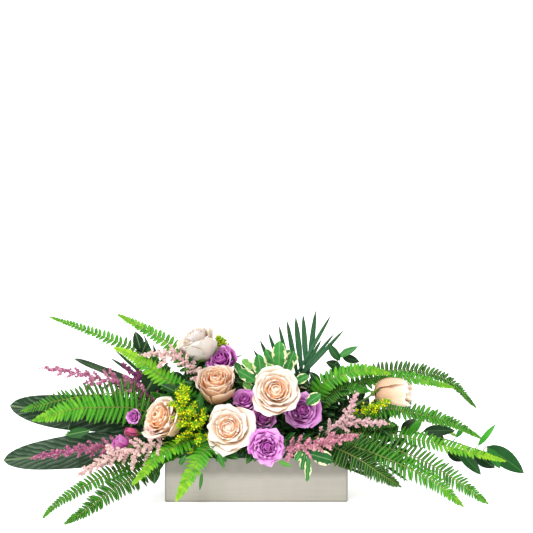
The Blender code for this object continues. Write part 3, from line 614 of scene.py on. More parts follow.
def floret_blank(spiky):
    """A floret or a bud: a small ball, with every face poked into a point for a floret."""
    deselect()
    bpy.ops.mesh.primitive_ico_sphere_add(subdivisions=1, radius=1.0)
    obj = bpy.context.object
    bpy.ops.object.mode_set(mode="EDIT")
    bpy.ops.mesh.select_all(action="SELECT")
    if spiky:
        bpy.ops.mesh.poke(offset=0.75)
    bpy.ops.object.mode_set(mode="OBJECT")
    return Blank(obj)


# Outlines: how wide a blade is, as a share of its widest, at each share of its length.


def petal_outline(share):
    return 0.30 + 0.70 * math.sin(min(1.0, share / 0.72) * math.pi / 2)


def pointed_petal_outline(share):
    body = 0.30 + 0.70 * math.sin(min(1.0, share / 0.62) * math.pi / 2)
    return body * (1 - 0.5 * max(0.0, share - 0.62) / 0.38)


def leaf_outline(share):
    return math.sin(math.pi * share ** 0.85) ** 0.8 if 0 < share < 1 else 0.02


def toothed_outline(share):
    return leaf_outline(share) * (0.90 + 0.10 * (1 - (share * 9) % 1.0))


def oval_outline(share):
    return math.sin(math.pi * share ** 1.12) ** 0.62 if 0 < share < 1 else 0.04


def leaflet_outline(share):
    return min(1.0, 0.75 + share * 3.0) * (1.0 - share ** 3.4) ** 0.7


def broad_outline(share):
    return min(1.0, (share / 0.16) ** 0.75) * (1.0 - share ** 5.0) ** 0.62 if share > 0 else 0.03


def strap_outline(share):
    return min(1.0, 0.45 + share * 3.2) * (1.0 - share ** 2.6) ** 0.8


def spear_outline(share):
    return min(1.0, 0.45 + share * 1.1) * (1.0 - share ** 5.0) ** 0.8


PETAL = blade_blank(8, 10, petal_outline, 0.16)
POINTED_PETAL = blade_blank(8, 10, pointed_petal_outline, 0.22)
OVAL = blade_blank(6, 12, oval_outline, 0.0)
LEAF = blade_blank(4, 9, leaf_outline, 0.0)
ROSE_LEAF = blade_blank(4, 18, toothed_outline, 0.0)
LEAFLET = blade_blank(2, 6, leaflet_outline, 0.0)
BROAD = blade_blank(12, 34, broad_outline, 0.0)
STRAP = blade_blank(4, 12, strap_outline, 0.0)
SPEAR = blade_blank(2, 8, spear_outline, 0.0)
NEEDLE = blade_blank(2, 3, spear_outline, 0.0)
FLORET = floret_blank(True)
BUD = floret_blank(False)

# ---------------------------------------------------------------- laying shapes into a piece


def add_blade(piece, blank, foot, along, facing, length, width, thickness=0.35, droop=0.0,
              fold=0.0, twist=0.0, wave=0.0, slot=0, **values):
    """One leaf-like blade from its foot. droop and twist are radians over its length, fold lifts
    its edges by that share of their distance from the midrib, and wave ripples them."""
    along = unit(along)
    side = unit(np.cross(along, facing))
    up = np.cross(side, along)
    x, y, z = blank.points.T
    if abs(droop) > 1e-3:
        reach = np.sin(droop * y) / droop
        sink = -(1 - np.cos(droop * y)) / droop
    else:
        reach = y
        sink = 0 * y
    turn = twist * y
    lift = np.abs(x) * fold * width / 2 + wave * np.sin(y * 17 + x * 2) * np.abs(x) * width / 2
    lift = lift + z * thickness / 2
    over = x * width / 2
    across = over * np.cos(turn) - lift * np.sin(turn)
    rise = over * np.sin(turn) + lift * np.cos(turn)
    bow = droop * y
    points = (np.asarray(foot, float)
              + np.outer(reach * length + rise * np.sin(bow), along)
              + np.outer(sink * length + rise * np.cos(bow), up)
              + np.outer(across, side))
    values.setdefault("along", y)
    values.setdefault("across", x)
    values.setdefault("outer", (z < 0).astype(float))
    piece.add(points, blank.loops, blank.totals, slot, **values)


def add_floret(piece, blank, place, size, slot, **values):
    """A floret or bud, turned at random."""
    a, b = RNG.uniform(0, math.tau, 2)
    turn = np.array([[math.cos(a), -math.sin(a), 0], [math.sin(a), math.cos(a), 0], [0, 0, 1]])
    tip = np.array([[1, 0, 0], [0, math.cos(b), -math.sin(b)], [0, math.sin(b), math.cos(b)]])
    scale = size * RNG.uniform(0.75, 1.25, 3)
    points = (blank.points * scale) @ (turn @ tip) + np.asarray(place, float)
    values.setdefault("along", np.clip(np.linalg.norm(blank.points, axis=1) - 0.8, 0, 1))
    piece.add(points, blank.loops, blank.totals, slot, **values)


def add_stem(piece, path, widths, sides=7, slot=0, **values):
    """A closed round stem along a path, its radius given at every point."""
    path = np.asarray(path, float)
    along = np.gradient(path, axis=0)
    along /= np.linalg.norm(along, axis=1)[:, None]
    guide = np.array([0.31, 0.95, 0.05])
    side = np.cross(along, guide)
    side /= np.linalg.norm(side, axis=1)[:, None]
    up = np.cross(side, along)
    turn = np.arange(sides) * math.tau / sides
    widths = np.broadcast_to(np.asarray(widths, float), (len(path),))
    rings = (path[:, None, :]
             + side[:, None, :] * (np.cos(turn)[None, :, None] * widths[:, None, None])
             + up[:, None, :] * (np.sin(turn)[None, :, None] * widths[:, None, None]))
    n = len(path)
    low = np.arange(n - 1)[:, None] * sides + np.arange(sides)[None, :]
    high = np.arange(n - 1)[:, None] * sides + (np.arange(sides)[None, :] + 1) % sides
    quads = np.stack([low, low + sides, high + sides, high], axis=-1).reshape(-1, 4)
    caps = [np.arange(sides), np.arange(sides)[::-1] + (n - 1) * sides]
    loops = np.concatenate([quads.ravel()] + caps)
    totals = np.concatenate([np.full(len(quads), 4), [sides, sides]])
    values.setdefault("along", np.repeat(np.linspace(0, 1, n), sides))
    piece.add(rings.reshape(-1, 3), loops, totals, slot, **values)


def add_ribbon(piece, blank, route, start, width, fold=0.0, wave=0.0, thickness=0.5, slot=0, **values):
    """A blade that follows a route from the given share of it to its end."""
    x, y, z = blank.points.T
    levels, where = np.unique(np.round(y, 5), return_inverse=True)
    frames = [route.frame(start + (1 - start) * level) for level in levels]
    place, along, side, up = (np.array([f[i] for f in frames])[where] for i in range(4))
    lift = np.abs(x) * fold * width / 2 + wave * np.sin(y * 13 + x * 1.3) * np.abs(x) ** 1.5
    lift = lift + z * thickness / 2
    points = place + side * (x * width / 2)[:, None] + up * lift[:, None]
    piece.add(points, blank.loops, blank.totals, slot, along=y, across=x,
              outer=(z < 0).astype(float), **values)


# ---------------------------------------------------------------- roses

# Profiles of a petal from its foot to its tip, as (radius, height) shares of the bloom: the
# innermost petal, the outermost of a cupped rose, and the outermost of an open one.
CORE_CURVE = np.array([(0.05, 0.50), (0.22, 0.60), (0.20, 0.88), (0.09, 0.97)])
BOWL_CURVE = np.array([(0.10, 0.00), (1.25, 0.00), (1.04, 0.62), (0.84, 0.97)])
CUP_CURVE = np.array([(0.10, 0.00), (1.05, 0.00), (0.84, 0.62), (1.04, 0.93)])
OPEN_CURVE = np.array([(0.08, 0.05), (0.62, 0.10), (0.76, 1.06), (1.05, 0.70)])

# How far round the bloom half a petal may reach, in radians, and how far its rim rolls back.
MOST_WRAP = 2.3
ROUND_ROLL = 0.09
POINTED_ROLL = 0.20


def add_petal(piece, blank, foot, axes, turn, curve, radius, depth, width, ring, openness, ruffle,
              slot, **values):
    """One petal of a rose, wrapped round the axis of the bloom. ring runs from 0 at the heart to
    1 at the outside."""
    up, right, back = axes
    outward = right * math.cos(turn) + back * math.sin(turn)
    around = back * math.cos(turn) - right * math.sin(turn)
    x, y, z = blank.points.T
    y = np.clip(y, 0, 1)
    weights = np.stack([(1 - y) ** 3, 3 * y * (1 - y) ** 2, 3 * y * y * (1 - y), y ** 3], axis=1)
    slopes = np.stack([-3 * (1 - y) ** 2, 3 * (1 - y) ** 2 - 6 * y * (1 - y),
                       6 * y * (1 - y) - 3 * y * y, 3 * y * y], axis=1)
    scaled = curve * np.array([radius, depth])
    spread, height = (weights @ scaled).T
    run, rise = (slopes @ scaled).T
    size = np.hypot(run, rise) + 1e-6
    run, rise = run / size, rise / size
    bend = np.maximum(spread * (1.0 + 0.5 * ring), 0.10 * radius) * (1 + (0.20 - 0.12 * ring) * x)
    swing = x * width / bend
    swing = MOST_WRAP * np.tanh(swing / MOST_WRAP)
    phase = values.get("tint", 0.5) * 40
    frill = ruffle * radius * 0.055 * np.sin(x * 7.5 + phase) * y ** 3
    frill = frill + ruffle * radius * 0.02 * np.sin(x * 15 + phase * 2) * y ** 5
    frill = frill * (0.3 + 0.7 * ring)
    frill = frill + ruffle * radius * 0.028 * ring * np.sin(x * 2.6 + phase) * y ** 2
    rolling = POINTED_ROLL if blank is POINTED_PETAL else ROUND_ROLL
    roll = (0.04 + rolling * openness * ring) * radius * np.abs(x) ** 2.6 * y ** 2
    shell = 0.30 * z * (1.15 - 0.6 * y) + frill + roll
    outwards = spread - bend + bend * np.cos(swing) + shell * rise * np.cos(swing)
    sideways = bend * np.sin(swing) + shell * rise * np.sin(swing)
    upwards = height - shell * run + frill * 0.8
    points = (np.asarray(foot, float) + np.outer(outwards, outward)
              + np.outer(sideways, around) + np.outer(upwards, up))
    piece.add(points, blank.loops, blank.totals, slot, along=y, across=x, ring=ring,
              outer=(z > 0).astype(float), **values)


def add_bloom(piece, base, face, radius, petals, openness, ruffle, pale, tan, pointed, slot):
    """A rose: petals at the golden turn from a tight heart to its outer petals. Returns the
    directions up its axis, to its right and to its back."""
    base = np.asarray(base, float)
    up = np.asarray(face, float) - base
    depth = np.linalg.norm(up)
    up = unit(up)
    right = unit(np.cross((0.2, 0.3, 1.0) if abs(up[2]) < 0.9 else (1.0, 0.2, 0.0), up))
    back = np.cross(up, right)
    closed = BOWL_CURVE if openness < CLOSED_ROSE else CUP_CURVE
    outside = closed * (1 - openness) + OPEN_CURVE * openness
    start = RNG.uniform(0, math.tau)
    heart = [base + up * depth * share for share in (0.30, 0.50, 0.64, 0.74, 0.82, 0.88)]
    add_stem(piece, heart, np.array([0.10, 0.30, 0.36, 0.27, 0.15, 0.03]) * radius, 12, slot, pale=pale)
    for i in range(petals):
        ring = i / (petals - 1)
        mix = ring ** (0.85 + 0.25 * openness)
        curve = CORE_CURVE * (1 - mix) + outside * mix
        curve = curve * (1 + RNG.uniform(-0.05, 0.05, (4, 2)) * (0.3 + ring))
        if ring > 0.72:
            curve = curve * np.array([RNG.uniform(0.92, 1.10), RNG.uniform(0.88, 1.02)])
        lean = unit(up + (right * RNG.normal() + back * RNG.normal()) * 0.03 * (0.4 + ring))
        side = unit(np.cross(np.cross(lean, right), lean))
        axes = (lean, side, np.cross(lean, side))
        width = radius * (0.24 + 0.52 * mix) * RNG.uniform(0.92, 1.08)
        blank = POINTED_PETAL if pointed and ring > 0.3 else PETAL
        turn = start + i * GOLDEN_TURN + RNG.uniform(-0.1, 0.1)
        add_petal(piece, blank, base, axes, turn, curve, radius, depth, width, ring, openness,
                  ruffle * RNG.uniform(0.7, 1.3), slot, tint=RNG.uniform(), pale=pale, tan=tan)
    return up, right, back


def add_calyx(piece, base, axes, radius, sepals, reach, flare, slot):
    """The green cup under a rose, with its sepals lying along the outer petals or folded back."""
    up, right, back = axes
    hip = np.array([base - up * 5, base - up * 3.4, base - up * 1, base + up * 1.5])
    add_stem(piece, hip, np.array([0.07, 0.13, 0.15, 0.12]) * radius + 1.0, 10, slot, tint=0.45)
    for i in range(sepals):
        turn = i * math.tau / sepals + 0.4
        out = right * math.cos(turn) + back * math.sin(turn)
        add_blade(piece, STRAP, base + out * radius * 0.08, out + up * (0.75 - flare), up + out * 0.2,
                  reach * radius * RNG.uniform(0.85, 1.15), radius * 0.20 + 1.5, 0.5,
                  droop=-0.9 + 2.0 * flare, fold=0.2, slot=slot, tint=RNG.uniform(0.35, 0.6))


def add_rose_leaves(piece, route, shares, reach, slot, tint):
    """Compound rose leaves: three toothed leaflets on a thin stalk, at each given share."""
    for k, share in enumerate(shares):
        place, along, side, up = route.frame(share)
        turn = k * 2.4 + RNG.uniform(-0.4, 0.4)
        out = unit(side * math.cos(turn) + up * math.sin(turn) + along * 0.35 + np.array([0, 0, 0.25]))
        tip = place + out * reach
        add_stem(piece, [place, place + out * reach * 0.5, tip], [0.8, 0.7, 0.5], 5, slot, tint=tint)
        across = unit(np.cross(out, (0, 0, 1)))
        for foot, way, length in ((tip, out, 0.9), (place + out * reach * 0.62, out * 0.6 + across, 0.72),
                                  (place + out * reach * 0.62, out * 0.6 - across, 0.72)):
            size = reach * length * RNG.uniform(0.9, 1.1)
            add_blade(piece, ROSE_LEAF, foot, way, (0, -0.35, 1), size, size * 0.62, 0.4, droop=0.5,
                      fold=0.18, wave=0.05, slot=slot, tint=tint + RNG.uniform(-0.12, 0.12))


def add_tuft(piece, route, count):
    """A ruff of dark leaves low on a stem, which hides the foam."""
    place = route.place(RUFF_AT / route.length)
    slot = piece.leaf_slot()
    for i in range(count):
        turn = i * GOLDEN_TURN + RNG.uniform(-0.3, 0.3)
        out = np.array([math.cos(turn), math.sin(turn), RNG.uniform(0.15, 0.8)])
        length = RNG.uniform(26, 44)
        add_blade(piece, LEAF, place, out, (0, 0, 1), length, length * 0.42, 0.4,
                  droop=RNG.uniform(0.2, 0.9), fold=0.2, slot=slot, tint=RNG.uniform(0.0, 0.3))


def add_stalk(piece, route, foot, slot, fresh):
    """A thin stalk from the nearest place on the main stem to the foot of a leaf or sprig."""
    foot = np.asarray(foot, float)
    near = route.nearest(foot)
    if np.linalg.norm(foot - near) > 3:
        middle = (near + foot) / 2 + np.array([0, 0, 0.1]) * np.linalg.norm(foot - near)
        add_stem(piece, np.array([near, middle, foot]), [0.9, 0.8, 0.6], 5, slot, tint=fresh)


def add_filling(piece, name, route):
    """The small foliage that goes in with a stem: leafy sprigs and single leaves."""
    slot = piece.leaf_slot()
    for points, pairs, length, width, fresh in FILLING.get(name, []):
        if points[0][2] > STALK_FROM:
            add_stalk(piece, route, points[0], slot, fresh)
        sprig = Route(smooth_route(points, 5), FORWARD)
        add_stem(piece, sprig.path, np.linspace(1.2, 0.6, len(sprig.path)), 6, slot, tint=fresh)
        for i in range(pairs * 2):
            place, along, side, up = sprig.frame(0.12 + 0.88 * (i + 0.5) / (pairs * 2))
            turn = i * 2.2
            out = side * math.cos(turn) + up * math.sin(turn) + along * 0.7
            size = length * RNG.uniform(0.8, 1.15)
            add_blade(piece, LEAF, place, out, (0, -0.7, 0.7), size, width * size / length, 0.4,
                      droop=0.35, fold=0.18, twist=RNG.uniform(-0.3, 0.3), slot=slot,
                      tint=fresh + RNG.uniform(-0.1, 0.15))
    for foot, tip, width, facing, fresh in EDGE_LEAVES.get(name, []):
        add_stalk(piece, route, foot, slot, fresh)
        reach = np.asarray(tip, float) - np.asarray(foot, float)
        add_blade(piece, ROSE_LEAF if width > WIDE_LEAF else LEAF, foot, reach, facing,
                  np.linalg.norm(reach), width, 0.4, droop=0.3, fold=0.15, wave=0.04, slot=slot,
                  tint=fresh)


def make_rose(name, spec, petal_material, slot_name):
    place, via, base, face, radius, petals, openness, ruffle, pale, tan, pointed = spec
    base = np.asarray(base, float)
    piece = Piece(name + "_flower", [petal_material, STALK, ROSE_LEAF_GREEN])
    path = stem_route(place, list(via) + [base])
    route = Route(path, FORWARD)
    add_stem(piece, path, np.linspace(2.1, 1.7, len(path)), 8, 1, tint=0.35)
    axes = add_bloom(piece, base, face, radius, petals, openness, ruffle, pale, tan, pointed, 0)
    bud = petals < BUD_PETALS
    add_calyx(piece, base, axes, radius, 5, 1.5 if bud else 0.95, 0.1 if bud else 0.3, 1)
    add_rose_leaves(piece, route, LEAFY.get(name, []), 20, 2, 0.35)
    add_tuft(piece, route, 7)
    add_filling(piece, name, route)
    return piece.finish(name, slot_name)


# ---------------------------------------------------------------- ferns and leaves


def add_frond(piece, route, start, pairs, length, width, fresh, tip_fresh, lift):
    """Pairs of leaflets along a rachis, longest in its lower half and small at the tip."""
    for i in range(pairs):
        share = 1 - (1 - (i + 0.5) / pairs) ** 1.3
        place, along, side, up = route.frame(start + (0.985 - start) * share)
        size = min(1.0, share / 0.16) ** 0.7 * max(0.0, 1 - share ** 2.1) ** 0.8 * 0.85 + 0.15
        angle = math.radians(86 - 34 * share)
        tint = fresh + (tip_fresh - fresh) * share
        for way in (-1, 1):
            lean = angle + RNG.uniform(-0.1, 0.1)
            out = side * way * math.sin(lean) + along * math.cos(lean)
            out = out + up * (lift + RNG.uniform(-0.08, 0.08))
            add_blade(piece, LEAFLET, place, out, up + side * way * 0.25,
                      length * size * RNG.uniform(0.9, 1.08),
                      width * (0.6 + 0.4 * size) * RNG.uniform(0.9, 1.1), 0.3,
                      droop=RNG.uniform(-0.1, 0.45), fold=0.25, twist=RNG.uniform(-0.35, 0.35),
                      tint=tint + RNG.uniform(-0.1, 0.1))
    place, along, side, up = route.frame(0.99)
    add_blade(piece, LEAFLET, place, along, up, length * 0.25, width * 0.7, 0.3, tint=tip_fresh)


def make_fern(name, spec):
    fern = dict(zip(FERN_KEYS, spec))
    route = Route(stem_route(fern["place"], fern["route"]), fern["facing"])
    piece = Piece(name + "_fronds", [FERN_BLADE, FERN_RIB])
    add_stem(piece, route.path, np.linspace(1.4, 0.7, len(route.path)), 6, 1)
    add_frond(piece, route, fern["start"], fern["pairs"], fern["length"], fern["width"], fern["fresh"],
              fern["tip_fresh"], fern["lift"])
    for points, length, facing, pairs, width, fresh, tip_fresh in SIDE_FRONDS.get(name, []):
        side_route = Route(smooth_route(points, 6), facing)
        add_stem(piece, side_route.path, np.linspace(1.1, 0.6, len(side_route.path)), 6, 1)
        add_frond(piece, side_route, 0.12, pairs, length, width, fresh, tip_fresh, 0.1)
    if fern["route"][0][2] < LOW_FROND:
        add_tuft(piece, route, 4)
    add_filling(piece, name, route)
    return piece.finish(name, "fern_green")


def make_broad_leaf(name, spec):
    place, via, half_width, facing, start = spec
    route = Route(stem_route(place, via), facing)
    piece = Piece(name + "_blade", [STRIPED_BLADE, STALK])
    shown = max(2, int(len(route.path) * 0.97))
    add_stem(piece, route.path[:shown], np.linspace(2.0, 0.7, shown), 7, 1, tint=0.3)
    add_ribbon(piece, BROAD, route, start, half_width * 2, fold=0.22, wave=1.4, thickness=0.6,
               tint=RNG.uniform(0.3, 0.7))
    add_filling(piece, name, route)
    return piece.finish(name, "striped_leaf")


def make_sprig(name, spec, blade_material, slot_name, blank, fold, wave):
    place, via, leaves = spec
    route = Route(stem_route(place, via), FORWARD)
    piece = Piece(name + "_leaves", [blade_material, STALK])
    add_stem(piece, route.path, np.linspace(1.7, 0.8, len(route.path)), 7, 1, tint=0.3)
    for foot, tip, width, facing, tint in leaves:
        foot = np.asarray(foot, float)
        reach = np.asarray(tip, float) - foot
        near = route.nearest(foot)
        middle = (near + foot) / 2 - unit(reach) * 1.5
        add_stem(piece, np.array([near, middle, foot + unit(reach) * 0.8]), [0.9, 0.8, 0.6], 6, 1,
                 tint=0.4)
        length = np.linalg.norm(reach)
        add_blade(piece, blank, foot, reach, facing, length, width, 0.5, droop=0.25, fold=fold,
                  twist=RNG.uniform(-0.2, 0.2), wave=wave, tint=tint, ring=RNG.uniform())
    add_tuft(piece, route, 5)
    add_filling(piece, name, route)
    return piece.finish(name, slot_name)


def make_palm(name, spec):
    place, via, facing, blades = spec
    route = Route(stem_route(place, via), facing)
    path = route.path
    piece = Piece(name + "_blades", [PALM_BLADE, STALK])
    add_stem(piece, path, np.linspace(1.8, 1.4, len(path)), 7, 1, tint=0.2)
    for foot, tip, width in blades:
        foot = np.asarray(foot, float)
        way = np.asarray(tip, float) - foot
        length = np.linalg.norm(way)
        add_stem(piece, [path[-1], (path[-1] + foot) / 2, foot + way * 0.05], [1.2, 1.2, 1.0], 6, 1,
                 tint=0.1)
        add_blade(piece, SPEAR, foot, way, facing, length, width * RNG.uniform(0.9, 1.1), 0.5,
                  droop=RNG.uniform(-0.05, 0.08), fold=-0.45, tint=RNG.uniform())
    add_filling(piece, name, route)
    return piece.finish(name, "palm_green")


# ---------------------------------------------------------------- feathery flowers


def add_plume_branches(piece, route, start, count, reach, angle, each):
    """Side branches round a plume's stem, longest low down, each laid by the function each."""
    for i in range(count):
        share = (i + 0.5) / count
        place, along, side, up = route.frame(start + (0.97 - start) * share)
        turn = i * GOLDEN_TURN
        out = side * math.cos(turn) + up * math.sin(turn)
        lean = math.radians(angle * (1 - 0.45 * share))
        way = unit(out * math.sin(lean) + along * math.cos(lean))
        length = reach * (1 - share) ** 0.75 * RNG.uniform(0.7, 1.15) + reach * 0.14
        each(place, way, length)


def add_spike(piece, route, start, count, reach, blush, heat):
    """A spike of astilbe: short branches thick with florets, and florets along its tip."""
    def branch(foot, way, length):
        sag = np.array([0, 0, -0.06 * length])
        tip = foot + way * length + sag
        add_stem(piece, [foot, foot + way * length * 0.5, tip], [0.6, 0.5, 0.3], 5, 1, tint=blush)
        florets = int(6 + length * 2.4)
        for k in range(florets):
            at = (k + 0.9) / florets
            middle = foot + way * length * at + sag * at * at
            spread = 1.9 * (1 - 0.5 * at)
            add_floret(piece, FLORET, middle + RNG.normal(0, spread, 3), RNG.uniform(0.6, 1.35), 0,
                      tint=blush + RNG.uniform(-0.28, 0.22), pale=heat)

    add_plume_branches(piece, route, start, count, reach, 62, branch)
    for at in np.linspace(start + 0.3 * (1 - start), 1.0, int(route.length * (1 - start) / 3)):
        add_floret(piece, FLORET, route.place(at) + RNG.normal(0, 1.3, 3), RNG.uniform(0.7, 1.1), 0,
                  tint=blush + RNG.uniform(-0.1, 0.15), pale=heat)


def make_astilbe(name, spec):
    place, via, reach, start, count, blush, heat = spec
    route = Route(stem_route(place, via), PLUME_FORWARD)
    piece = Piece(name + "_plume", [ASTILBE_FLORET, ASTILBE_STALK])
    add_stem(piece, route.path, np.linspace(1.5, 0.5, len(route.path)), 6, 1, tint=blush)
    add_spike(piece, route, start, count, reach, blush, heat)
    for points, branches, side_reach in SIDE_SPIKES.get(name, []):
        side_route = Route(smooth_route(points, 6), PLUME_FORWARD)
        add_stem(piece, side_route.path, np.linspace(0.9, 0.4, len(side_route.path)), 5, 1, tint=blush)
        add_spike(piece, side_route, 0.1, branches, side_reach, blush, heat)
    add_filling(piece, name, route)
    return piece.finish(name, "astilbe_pink")


def make_goldenrod(name, spec):
    place, via, reach, start, count = spec
    route = Route(stem_route(place, via), PLUME_FORWARD)
    piece = Piece(name + "_spray", [GOLDEN_BUD, FEATHER_GREEN])
    add_stem(piece, route.path, np.linspace(1.5, 0.6, len(route.path)), 6, 1, tint=0.3)

    def branch(foot, way, length):
        sag = np.array([0, 0, -0.16 * length])
        steps = [foot + way * length * t + sag * t * t for t in (0.0, 0.4, 0.75, 1.0)]
        add_stem(piece, steps, [0.6, 0.5, 0.4, 0.25], 5, 1, tint=0.5)
        buds = int(4 + length * 0.7)
        for k in range(buds):
            at = 0.25 + 0.75 * (k + 0.5) / buds
            middle = foot + way * length * at + sag * at * at
            offset = RNG.normal(0, 2.8, 3)
            for side in (-1, 1):
                add_blade(piece, NEEDLE, middle, unit(offset) * side + way * 0.8, (0, -1, 0.4),
                          RNG.uniform(5, 9), 1.1, 0.3, fold=0.2, slot=1, tint=RNG.uniform(0.1, 0.9))
            add_floret(piece, BUD, middle + offset, RNG.uniform(0.9, 1.6), 0, tint=RNG.uniform())

    add_plume_branches(piece, route, start, count, reach, 64, branch)
    add_filling(piece, name, route)
    return piece.finish(name, "goldenrod_yellow")


# ---------------------------------------------------------------- materials


def linear(code):
    """An sRGB hex colour as linear values."""
    parts = [int(code[i:i + 2], 16) / 255 for i in (1, 3, 5)]
    return [c / 12.92 if c <= 0.04045 else ((c + 0.055) / 1.055) ** 2.4 for c in parts] + [1.0]


# How a node that mixes is set to mix colours, and which of its outputs is then the colour.
COLOURS = {"data_type": "RGBA", "out": 2}


class Recipe:
    """A material being made. What is the same all over it is set on the shader itself."""

    def __init__(self, name, roughness, metallic=0.0, translucent=0.0, gloss=0.5):
        self.material = bpy.data.materials.new(name)
        self.material.use_nodes = True
        self.tree = self.material.node_tree
        self.shader = next(n for n in self.tree.nodes if n.type == "BSDF_PRINCIPLED")
        self.shader.inputs["Roughness"].default_value = roughness
        self.shader.inputs["Metallic"].default_value = metallic
        self.shader.inputs["Specular IOR Level"].default_value = gloss
        self.shader.inputs["Subsurface Weight"].default_value = translucent
        self.shader.inputs["Subsurface Radius"].default_value = (0.004, 0.002, 0.001)
        self.shader.inputs["Subsurface Scale"].default_value = 0.65

    def node(self, kind, links=None, out=0, stops=(), **settings):
        """Adds a node and returns one of its outputs. links are its inputs: sockets, numbers, hex
        colours or the piece's own values by name. stops are the places and colours of a ramp."""
        node = self.tree.nodes.new("ShaderNode" + kind)
        for key, value in settings.items():
            setattr(node, key, value)
        for key, value in (links or {}).items():
            if value in Piece.VALUES:
                value = self.node("Attribute", out="Fac", attribute_name=value)
            if isinstance(value, bpy.types.NodeSocket):
                self.tree.links.new(value, node.inputs[key])
            else:
                node.inputs[key].default_value = linear(value) if isinstance(value, str) else value
        for _ in stops[2:]:
            node.color_ramp.elements.new(0.5)
        for i, (place, code) in enumerate(stops):
            node.color_ramp.elements[i].position = place
            node.color_ramp.elements[i].color = linear(code)
        return node.outputs[out]

    def clouds(self, size_mm, detail=2.0, stretch=(1, 1, 1)):
        """Cloudy blots about size_mm across, fixed to the piece."""
        where = self.node("TexCoord", out="Object")
        scaled = self.node("Mapping", {"Vector": where, "Scale": stretch})
        return self.node("TexNoise", {"Vector": scaled, "Scale": 1000.0 / size_mm, "Detail": detail})

    def finish(self, colour, bump=None, depth=0.0, strength=0.4):
        self.tree.links.new(colour, self.shader.inputs["Base Color"])
        if bump is not None:
            relief = self.node("Bump", {"Height": bump, "Distance": depth, "Strength": strength})
            self.tree.links.new(relief, self.shader.inputs["Normal"])
        return self.material


def cream_petal():
    """Living rose petal: matt velvet, thin enough to glow, peach at the heart and cream at the rim."""
    m = Recipe("rose petal, cream and peach", 0.6, translucent=0.3, gloss=0.2)
    heart = m.node("ValToRGB", {"Fac": "along"}, stops=[
        (0.0, "#FBAA60"), (0.5, "#FDC08A"), (0.82, "#FDD9B6"), (1.0, "#FFF1E4")])
    body = m.node("ValToRGB", {"Fac": "along"}, stops=[
        (0.0, "#F8C48C"), (0.35, "#F5D5B4"), (0.7, "#F3DAC6"), (1.0, "#FAEBDF")])
    depth = m.node("Math", {0: "tan", 1: 0.25}, operation="MULTIPLY")
    depth = m.node("Math", {0: "ring", 1: depth}, operation="SUBTRACT")
    depth = m.node("MapRange", {"Value": depth, "From Min": 0.15, "From Max": 0.60})
    colour = m.node("Mix", {0: depth, 6: heart, 7: body}, **COLOURS)

    # A tan rose is warm orange inside its cup and tan outside.
    warm = m.node("ValToRGB", {"Fac": "along"}, stops=[
        (0.0, "#F08A2E"), (0.68, "#F8A250"), (0.88, "#FFC488"), (0.95, "#FFE9CF"), (1.0, "#FFFBF4")])
    inside = m.node("MapRange", {"Value": "ring", "From Min": 0.45, "From Max": 0.75,
                                 "To Min": 0.95, "To Max": 0.10})
    inside = m.node("Math", {0: "tan", 1: inside}, operation="MULTIPLY")
    colour = m.node("Mix", {0: inside, 6: colour, 7: warm}, **COLOURS)
    outside = m.node("ValToRGB", {"Fac": "along"}, stops=[
        (0.0, "#B97F4E"), (0.5, "#D8A474"), (0.86, "#E8C198"), (1.0, "#FFF2E6")])
    wall = m.node("MapRange", {"Value": "ring", "From Min": 0.72, "From Max": 0.84})
    wall = m.node("Math", {0: wall, 1: "outer"}, operation="MULTIPLY")
    wall = m.node("Math", {0: "tan", 1: wall}, operation="MULTIPLY")
    colour = m.node("Mix", {0: wall, 6: colour, 7: outside}, **COLOURS)

    # A pale rose is grey-white with a pink-grey lip, its own colour; the extra grey on the petals' outer
    # faces is painted shade.
    grey = m.node("ValToRGB", {"Fac": "along"}, stops=[
        (0.0, "#A8A68C"), (0.35, "#D3CABF"), (0.75, "#ECE5DE"), (0.94, "#F4EEEB"), (1.0, "#D2B3B8")])
    amount = m.node("Math", {0: "outer", 1: 0.6}, operation="MULTIPLY")
    amount = m.node("Math", {0: "pale", 1: amount}, operation="MULTIPLY")
    all_over = m.node("Math", {0: "pale", 1: 0.38}, operation="MULTIPLY")
    amount = m.node("Math", {0: amount, 1: all_over}, operation="ADD", use_clamp=True)
    colour = m.node("Mix", {0: amount, 6: colour, 7: grey}, **COLOURS)
    veins = m.clouds(9.0, 3.0)
    faint = m.node("Math", {0: veins, 1: 0.07}, operation="MULTIPLY")
    colour = m.node("Mix", {0: faint, 6: colour, 7: "#E9B9A2"}, blend_type="MULTIPLY", **COLOURS)
    return m.finish(colour, veins, 0.0006, 0.25)


def lavender_petal():
    """Living spray rose petal: matt, ruffled, orchid purple that deepens towards the heart."""
    m = Recipe("spray rose petal, orchid purple", 0.6, translucent=0.12, gloss=0.12)
    heart = m.node("ValToRGB", {"Fac": "along"}, stops=[
        (0.0, "#7A1470"), (0.55, "#A02C96"), (0.85, "#C055B6"), (1.0, "#D882D0")])
    body = m.node("ValToRGB", {"Fac": "along"}, stops=[
        (0.0, "#9A2C8C"), (0.40, "#C25AB6"), (0.75, "#D680CC"), (1.0, "#E8AEE2")])
    depth = m.node("MapRange", {"Value": "ring", "From Min": 0.1, "From Max": 0.7})
    colour = m.node("Mix", {0: depth, 6: heart, 7: body}, **COLOURS)
    bud = m.node("ValToRGB", {"Fac": "along"}, stops=[(0.0, "#8C3A4E"), (1.0, "#D0628F")])
    colour = m.node("Mix", {0: "pale", 6: colour, 7: bud}, **COLOURS)
    veins = m.clouds(6.0, 3.0)
    faint = m.node("Math", {0: veins, 1: 0.12}, operation="MULTIPLY")
    colour = m.node("Mix", {0: faint, 6: colour, 7: "#C890CC"}, blend_type="MULTIPLY", **COLOURS)
    return m.finish(colour, veins, 0.0006, 0.3)


